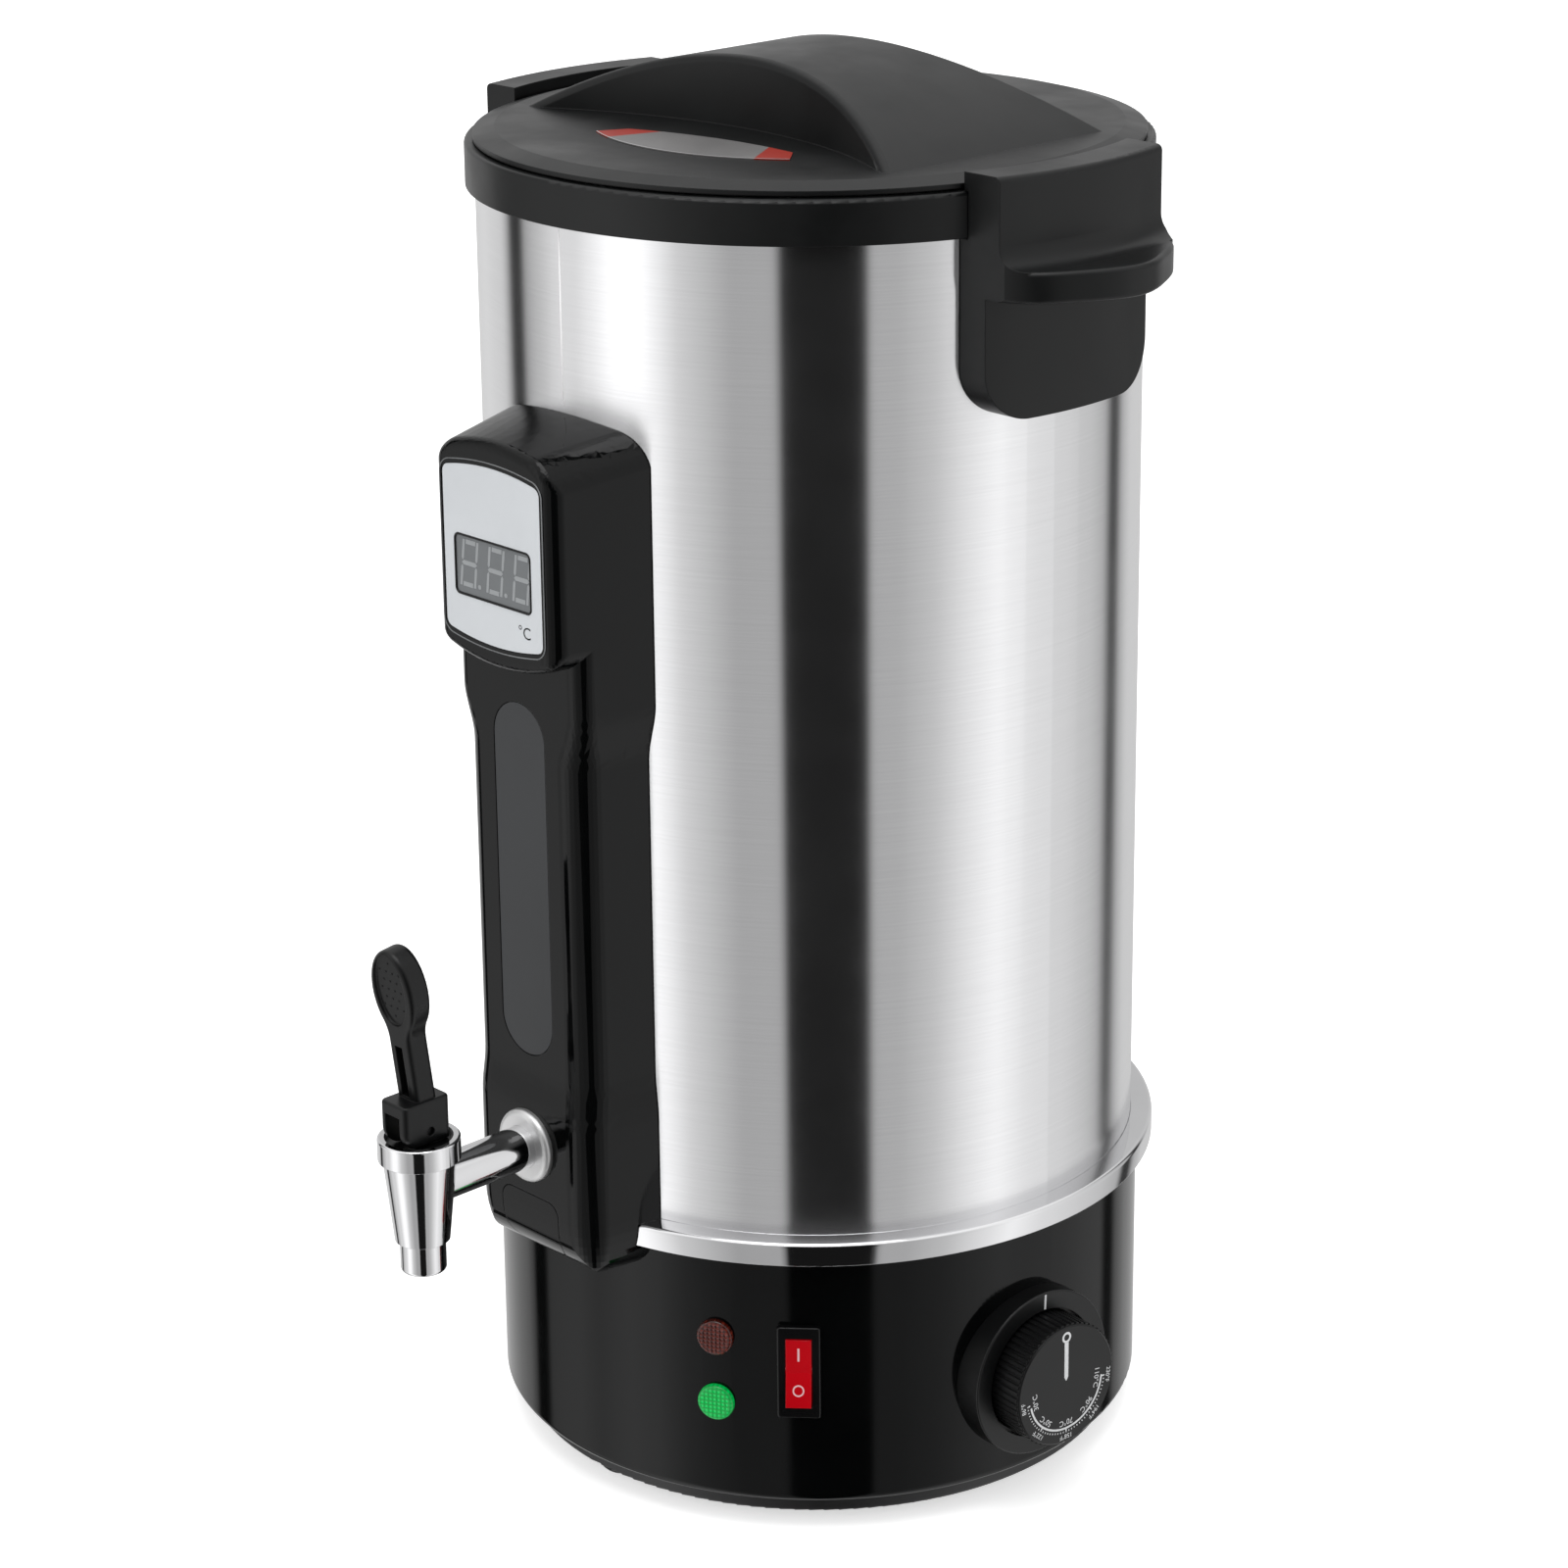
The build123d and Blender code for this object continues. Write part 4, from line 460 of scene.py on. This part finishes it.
# the knob's face and the plate behind it; angles in degrees, from the right, anticlockwise
dial = dict(azimuth=85.0, height=48.2, plateFront=118.5, knobFront=130.3, proud=0.06,
            arcInner=15.6, arcOuter=16.3, arcStart=192.0, arcSweep=163.0, arcSteps=60,
            first=-172.0, step=41.3, tickOuter=17.3, tickHalf=0.25,
            dashes=40, dashInner=17.0, dashOuter=17.55, dashHalf=0.16,
            insideRadius=13.7, insideSize=2.9, outsideRadius=19.0, outsideSize=2.378,
            inside=("30°C", "50°C", "70°C", "90°C", "110°C"),
            outside=("86°F", "122°F", "158°F", "194°F", "230°F"))
pointer = dict(half=0.85, tip=1.6, shoulder=3.0, end=15.9, ringMiddle=17.6, ringInner=1.15,
               ringOuter=1.95, ringSteps=32)
indexMark = dict(angle=87.6, inner=23.0, outer=28.2, half=0.4)


def spoke(bm, inner, outer, half, angle):
    made = raised(bm, [(inner, -half), (outer, -half), (outer, half), (inner, half)],
                  dial["proud"])
    bmesh.ops.transform(bm, matrix=Matrix.Rotation(radians(angle), 4, "Z"), verts=made)


def makeDialNumbers(face):
    d = dial
    bm = bmesh.new()
    bandArc(bm, d["arcInner"], d["arcOuter"], d["arcStart"], d["arcSweep"], d["proud"],
            d["arcSteps"])
    for k, (inside, outside) in enumerate(zip(d["inside"], d["outside"])):
        angle = d["first"] + k * d["step"]
        upright = Matrix.Rotation(radians(angle - 90), 4, "Z")
        lettering(bm, inside, d["insideSize"], d["proud"],
                  upright @ Matrix.Translation((0, d["insideRadius"] * mm, 0)))
        lettering(bm, outside, d["outsideSize"], d["proud"],
                  upright @ Matrix.Translation((0, d["outsideRadius"] * mm, 0)))
        spoke(bm, d["arcOuter"], d["tickOuter"], d["tickHalf"], angle)
    span = d["step"] * (len(d["inside"]) - 1)
    for k in range(d["dashes"] + 1):
        spoke(bm, d["dashInner"], d["dashOuter"], d["dashHalf"],
              d["first"] + span * k / d["dashes"])
    addPiece(bm, "dial_numbers", "mark_white", "knob", face)


def makePointer(face):
    p = pointer
    bm = bmesh.new()
    raised(bm, [(-p["half"], p["end"]), (-p["half"], p["shoulder"]), (0, p["tip"]),
                (p["half"], p["shoulder"]), (p["half"], p["end"])], dial["proud"])
    ring = bandArc(bm, p["ringInner"], p["ringOuter"], 0, 360, dial["proud"], p["ringSteps"])
    bmesh.ops.translate(bm, vec=(0, p["ringMiddle"] * mm, 0), verts=ring)
    addPiece(bm, "dial_pointer", "mark_white", "knob", face)


def makeIndexMark():
    m = indexMark
    bm = bmesh.new()
    spoke(bm, m["inner"], m["outer"], m["half"], m["angle"])
    addPiece(bm, "dial_index", "mark_white", "housing",
             outward(dial["azimuth"], dial["plateFront"], dial["height"]))


knobFace = outward(dial["azimuth"], dial["knobFront"], dial["height"])
makeDialNumbers(knobFace)
makePointer(knobFace)
makeIndexMark()
print("dial made")


# the rocker's two halves fall towards its middle by dip over half its height
rocker = dict(azimuth=42.5, height=60.0, tilt=7.5, base=112.0, crown=4.3, dip=1.6, half=12.15,
              proud=0.05, barHalf=0.34, barLow=4.2, barHigh=8.9, ringInner=1.45, ringOuter=1.95,
              ringDown=6.0, ringSteps=40)


def makeRockerMarks():
    r = rocker
    slope = atan(r["dip"] / r["half"])
    middle = (outward(r["azimuth"], r["base"], r["height"])
              @ Matrix.Rotation(radians(-r["tilt"]), 4, "X")
              @ Matrix.Translation((0, 0, (r["crown"] - r["dip"]) * mm)))
    bm = bmesh.new()
    bar = raised(bm, [(-r["barHalf"], r["barLow"]), (r["barHalf"], r["barLow"]),
                      (r["barHalf"], r["barHigh"]), (-r["barHalf"], r["barHigh"])], r["proud"])
    bmesh.ops.transform(bm, matrix=middle @ Matrix.Rotation(slope, 4, "X"), verts=bar)
    ring = bandArc(bm, r["ringInner"], r["ringOuter"], 0, 360, r["proud"], r["ringSteps"])
    bmesh.ops.translate(bm, vec=(0, -r["ringDown"] * mm, 0), verts=ring)
    bmesh.ops.transform(bm, matrix=middle @ Matrix.Rotation(-slope, 4, "X"), verts=ring)
    addPiece(bm, "rocker_marks", "mark_pink", "rocker")


facet = dict(foot=0.69, top=0.12, sides=4)      # foot is a share of the pitch


def makeLensFacets(colour, height):
    # rows of small pyramids on the lens's front
    pitch, rise, radius = lamps["pitch"], lamps["rise"], lamps["radius"]
    reach = int(radius / pitch) + 1
    rows = [k * pitch for k in range(-reach, reach + 1)]
    bm = bmesh.new()
    for x, y in [(x, y) for x in rows for y in rows if hypot(x, y) <= radius]:
        spot = Matrix.Translation((x * mm, y * mm, rise / 2 * mm))
        bmesh.ops.create_cone(bm, cap_ends=True, segments=facet["sides"], depth=rise * mm,
                              radius1=pitch * facet["foot"] * mm, radius2=facet["top"] * mm,
                              matrix=spot @ Matrix.Rotation(pi / facet["sides"], 4, "Z"))
    addPiece(bm, colour + "_facets", colour + "_lamp", "housing",
             outward(lamps["azimuth"], lamps["front"], height))


makeRockerMarks()
for lampColour, lampHeight in lamps["heights"].items():
    makeLensFacets(lampColour, lampHeight)
print("switch and lamps made")


seam = dict(azimuth=0.6, radius=109.95, low=380.0, high=436.8, half=0.24, steps=16)


def makeSeam():
    # a thin weld bead, half sunk in the barrel above the casing; its pale colour and glow are a
    # painted highlight
    s = seam
    bm = bmesh.new()
    middle = Matrix.Translation((0, (s["low"] + s["high"]) / 2 * mm, 0))
    bmesh.ops.create_cone(bm, cap_ends=True, segments=s["steps"], radius1=s["half"] * mm,
                          radius2=s["half"] * mm, depth=(s["high"] - s["low"]) * mm,
                          matrix=middle @ Matrix.Rotation(pi / 2, 4, "X"))
    addPiece(bm, "barrel_seam", "seam_painted_highlight", "housing",
             outward(s["azimuth"], s["radius"], 0), smooth=True)


# the polished band between base and barrel; the barrel stands on its ledge
band = dict(inner=109.3, seat=110.0, outer=117.4, low=100.4, ledge=102.8, high=108.0,
            rounding=1.4, roundingSteps=6, chamfer=0.15, steps=240, sharp=40)


def makeBand():
    b = band
    outline = [(b["inner"], b["low"]), (b["outer"], b["low"])]
    for k in range(b["roundingSteps"] + 1):
        turn = pi / 2 * k / b["roundingSteps"]
        outline.append((b["outer"] - b["rounding"] * (1 - cos(turn)),
                        b["high"] - b["rounding"] * (1 - sin(turn))))
    outline += [(b["seat"] + b["chamfer"], b["high"]), (b["seat"], b["high"] - b["chamfer"]),
                (b["seat"], b["ledge"]), (b["inner"], b["ledge"])]
    bm = bmesh.new()
    section = [bm.verts.new((r * mm, 0, z * mm)) for r, z in outline]
    edges = [bm.edges.new((section[k - 1], section[k])) for k in range(len(section))]
    bmesh.ops.spin(bm, geom=section + edges, cent=(0, 0, 0), axis=(0, 0, 1), dvec=(0, 0, 0),
                   angle=2 * pi, steps=b["steps"], use_merge=True, use_duplicate=False)
    piece = addPiece(bm, "band_ring", "chrome", "housing", smooth=True)
    piece.data.set_sharp_from_angle(angle=radians(b["sharp"]))
    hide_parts("trim_band")


# the casing's toe: over the lowest part, tall, it draws in by up to inward towards a spine
# by the barrel, as a quarter of an ellipse, and reaches further down by drop
toe = dict(bottom=91.0, tall=19.0, inward=10.0, drop=3.0, halfWide=31.0, spine=105.0,
           depth=28.0, steps=10)


def makeToe(nodeName, name):
    t = toe
    node = nodes[nodeName]
    start = t["bottom"] + t["tall"]
    bm = bmesh.new()
    bm.from_mesh(node.data)
    bmesh.ops.transform(bm, matrix=node.matrix_world, verts=bm.verts)
    bmesh.ops.remove_doubles(bm, verts=bm.verts, dist=weld)
    for k in range(t["steps"]):
        level = start - t["tall"] * sin(pi / 2 * k / t["steps"])
        everything = list(bm.verts) + list(bm.edges) + list(bm.faces)
        bmesh.ops.bisect_plane(bm, geom=everything, dist=weld / 2,
                               plane_co=(0, 0, level * mm), plane_no=(0, 0, 1))
    for v in bm.verts:
        below = min((start - v.co.z / mm) / t["tall"], 1.0)
        if below > 0:
            inward = t["inward"] * (1 - sqrt(1 - below ** 2))
            v.co.x *= 1 - inward / t["halfWide"]
            v.co.y += inward / t["depth"] * max(0.0, -v.co.y - t["spine"] * mm)
            v.co.z -= t["drop"] * mm * below
    piece = addPiece(bm, name, "gloss_black", "housing")
    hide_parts(nodeName)


def makeSpring():
    # the return spring again, as a piece with its own mesh
    node = nodes["tap_spring"]
    bm = bmesh.new()
    bm.from_mesh(node.data)
    piece = addPiece(bm, "spring_coil", "steel", "housing", node.matrix_world,
                     smooth=True)
    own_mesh(piece)
    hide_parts("tap_spring")


# small raised grip dots in the paddle's dish; the lever leans about its root, in degrees
lever = dict(root=165.0, axis=178.0, lean=7.5, floor=3.35, dishCentre=204.5, reachX=6.4,
             reachZ=10.4, rows=7, sideways=3, pitch=3.1, dot=0.42, flat=0.6, divisions=2)


def makeLeverDots():
    v = lever
    bm = bmesh.new()
    for row in range(v["rows"]):
        z = v["dishCentre"] + (row - (v["rows"] - 1) / 2) * v["pitch"]
        offset = v["pitch"] / 2 if row % 2 else 0
        for column in range(-v["sideways"], v["sideways"] + 1):
            x = column * v["pitch"] + offset
            if (x / v["reachX"]) ** 2 + ((z - v["dishCentre"]) / v["reachZ"]) ** 2 > 1:
                continue
            spot = Matrix.Translation((x * mm, -v["floor"] * mm, z * mm))
            bmesh.ops.create_icosphere(bm, subdivisions=v["divisions"], radius=v["dot"] * mm,
                                       matrix=spot @ Matrix.Diagonal((1, v["flat"], 1, 1)))
    lean = (Matrix.Translation((0, -v["axis"] * mm, v["root"] * mm))
            @ Matrix.Rotation(radians(v["lean"]), 4, "X")
            @ Matrix.Translation((0, 0, -v["root"] * mm)))
    addPiece(bm, "lever_dots", "tap_black", "lever", lean, smooth=True)


badge = dict(outer=72.0, halfAngle=34.0, swing=7.0, level=456.9, line=0.35, proud=0.03,
             steps=60)


def makeBadgeRim():
    # a thin pale outline along the badge's outer edge
    g = badge
    bm = bmesh.new()
    bandArc(bm, g["outer"] - g["line"], g["outer"], g["swing"] - g["halfAngle"] - 90,
            2 * g["halfAngle"], g["proud"], g["steps"], base=g["level"])
    addPiece(bm, "badge_outline", "badge_rim", "lid")


makeSeam()
makeBand()
makeToe("shroud", "shroud_casing")
makeToe("shroud_cover", "shroud_lower_cover")
makeSpring()
makeLeverDots()
makeBadgeRim()
print("casing, band, lines and dots made")


# the camera: its place in metres, azimuth in degrees, yaw, pitch and roll in radians
view = dict(distance=1.3170, height=0.6990, azimuth=46.0, yaw=-0.0076, pitch=0.2991,
            roll=0.0104, lens=93.25, sensor=36, shiftY=-0.12, near=0.05)


def makeCamera():
    v = view
    camera = bpy.data.cameras.new("camera")
    camera.sensor_width = v["sensor"]
    camera.lens = v["lens"]
    camera.shift_y = v["shiftY"]
    camera.clip_start = v["near"]
    holder = bpy.data.objects.new("camera", camera)
    azimuth = radians(v["azimuth"])
    spot = Matrix.Translation((v["distance"] * sin(azimuth), -v["distance"] * cos(azimuth),
                               v["height"]))
    holder.matrix_world = (spot @ Matrix.Rotation(azimuth - v["yaw"], 4, "Z")
                           @ Matrix.Rotation(pi / 2 - v["pitch"], 4, "X")
                           @ Matrix.Rotation(-v["roll"], 4, "Z"))
    scene.collection.objects.link(holder)
    scene.camera = holder


# the floor in metres; from topStart to topFull, the shares of straight up, the surround gives
# way to the light from above
studio = dict(floorSize=12.0, floorColour=0.86, floorRough=0.9, floorGlow=0.60,
              topLight=1.15, topStart=0.45, topFull=0.85, strength=1.4)
softbox = dict(size=1.6, power=16.0, spot=(0.3, -0.4, 2.4), target=(0, 0, 0.3))   # metres, watts

# grey level of the studio by direction: degrees from straight behind the viewer, then level;
# the narrow low pairs are the gaps between the softboxes
surround = ((-180, 0.60), (-150, 0.78), (-131, 0.72), (-126, 0.40), (-124, 0.02), (-117, 0.02),
            (-114, 0.45), (-96, 0.86), (-86, 0.86), (-71, 1.36), (-60, 1.34), (-46, 0.76),
            (-27, 0.45), (-12, 0.47), (-10, 0.01), (18, 0.01), (20, 0.49), (29, 0.49),
            (42, 0.64), (54, 0.90), (67, 1.15), (79, 0.94), (110, 0.68), (122, 0.52),
            (126, 0.05), (131, 0.05), (136, 0.50), (145, 0.70), (180, 0.60))


def greyLevel(level):
    return (level / studio["strength"],) * 3 + (1,)


def makeSurround(tree, coords):
    # the ramp of grey levels: its middle lies behind the viewer, its ends meet beyond the part
    turn = tree.nodes.new("ShaderNodeMapping")
    turn.inputs["Rotation"].default_value = (0, 0, radians(90 - view["azimuth"]))
    around = tree.nodes.new("ShaderNodeTexGradient")
    around.gradient_type = "RADIAL"
    ramp = tree.nodes.new("ShaderNodeValToRGB")
    link(tree, coords.outputs["Generated"], turn.inputs["Vector"])
    link(tree, turn.outputs["Vector"], around.inputs["Vector"])
    link(tree, around.outputs["Fac"], ramp.inputs["Fac"])
    stops = ramp.color_ramp.elements
    while len(stops) > 1:
        stops.remove(stops[-1])
    stops[0].position = 0.0
    for angle, level in surround:
        stop = stops[0] if angle == -180 else stops.new(angle / 360 + 0.5)
        stop.color = greyLevel(level)
    return ramp.outputs["Color"]


def makeWorld():
    world = bpy.data.worlds.new("studio")
    scene.world = world
    world.use_nodes = True
    tree = world.node_tree
    tree.nodes.clear()
    coords = tree.nodes.new("ShaderNodeTexCoord")
    split = tree.nodes.new("ShaderNodeSeparateXYZ")
    rise = tree.nodes.new("ShaderNodeMapRange")
    rise.interpolation_type = "SMOOTHSTEP"
    rise.inputs["From Min"].default_value = studio["topStart"]
    rise.inputs["From Max"].default_value = studio["topFull"]
    mix = tree.nodes.new("ShaderNodeMix")
    mix.data_type = "RGBA"
    mix.inputs[7].default_value = greyLevel(studio["topLight"])
    lit = tree.nodes.new("ShaderNodeBackground")
    lit.inputs["Strength"].default_value = studio["strength"]
    white = tree.nodes.new("ShaderNodeBackground")
    white.inputs["Color"].default_value = (1, 1, 1, 1)
    path = tree.nodes.new("ShaderNodeLightPath")
    chooser = tree.nodes.new("ShaderNodeMixShader")
    out = tree.nodes.new("ShaderNodeOutputWorld")
    link(tree, coords.outputs["Generated"], split.inputs["Vector"])
    link(tree, split.outputs["Z"], rise.inputs["Value"])
    link(tree, rise.outputs["Result"], mix.inputs[0])
    link(tree, makeSurround(tree, coords), mix.inputs[6])
    link(tree, mix.outputs[2], lit.inputs["Color"])
    link(tree, path.outputs["Is Camera Ray"], chooser.inputs[0])
    link(tree, lit.outputs[0], chooser.inputs[1])
    link(tree, white.outputs[0], chooser.inputs[2])
    link(tree, chooser.outputs[0], out.inputs["Surface"])


def makeFloorFinish():
    # matt white with a little glow to the eye, and clear to reflections, so that polished
    # metal shows the studio's levels all the way down
    material = bpy.data.materials.new("floor_white")
    material.use_nodes = True
    tree = material.node_tree
    matt = tree.nodes["Principled BSDF"]
    matt.inputs["Base Color"].default_value = (studio["floorColour"],) * 3 + (1,)
    matt.inputs["Roughness"].default_value = studio["floorRough"]
    glow = tree.nodes.new("ShaderNodeEmission")
    glow.inputs["Strength"].default_value = 1.0
    dark = tree.nodes.new("ShaderNodeEmission")
    dark.inputs["Strength"].default_value = 0.0
    clear = tree.nodes.new("ShaderNodeBsdfTransparent")
    path = tree.nodes.new("ShaderNodeLightPath")
    seen = tree.nodes.new("ShaderNodeMath")
    seen.operation = "MULTIPLY"
    seen.inputs[1].default_value = studio["floorGlow"]
    shade = tree.nodes.new("ShaderNodeMixShader")
    joined = tree.nodes.new("ShaderNodeAddShader")
    hide = tree.nodes.new("ShaderNodeMixShader")
    link(tree, path.outputs["Is Camera Ray"], seen.inputs[0])
    link(tree, seen.outputs[0], shade.inputs[0])
    link(tree, dark.outputs[0], shade.inputs[1])
    link(tree, glow.outputs[0], shade.inputs[2])
    link(tree, matt.outputs[0], joined.inputs[0])
    link(tree, shade.outputs[0], joined.inputs[1])
    link(tree, path.outputs["Is Glossy Ray"], hide.inputs[0])
    link(tree, joined.outputs[0], hide.inputs[1])
    link(tree, clear.outputs[0], hide.inputs[2])
    link(tree, hide.outputs[0], tree.nodes["Material Output"].inputs["Surface"])
    return material


def makeFloor():
    bm = bmesh.new()
    bmesh.ops.create_grid(bm, x_segments=1, y_segments=1, size=studio["floorSize"] / 2)
    mesh = bpy.data.meshes.new("floor")
    bm.to_mesh(mesh)
    bm.free()
    mesh.materials.append(makeFloorFinish())
    floor = bpy.data.objects.new("floor", mesh)
    scene.collection.objects.link(floor)


def makeSoftbox():
    light = bpy.data.lights.new("top_softbox", "AREA")
    light.shape = "DISK"
    light.size = softbox["size"]
    light.energy = softbox["power"]
    holder = bpy.data.objects.new("top_softbox", light)
    aim = Vector(softbox["target"]) - Vector(softbox["spot"])
    turn = aim.to_track_quat("-Z", "Y").to_matrix().to_4x4()
    holder.matrix_world = Matrix.Translation(softbox["spot"]) @ turn
    scene.collection.objects.link(holder)


makeCamera()
makeWorld()
makeFloor()
makeSoftbox()
scene.view_settings.view_transform = "Standard"
print("camera and studio made")
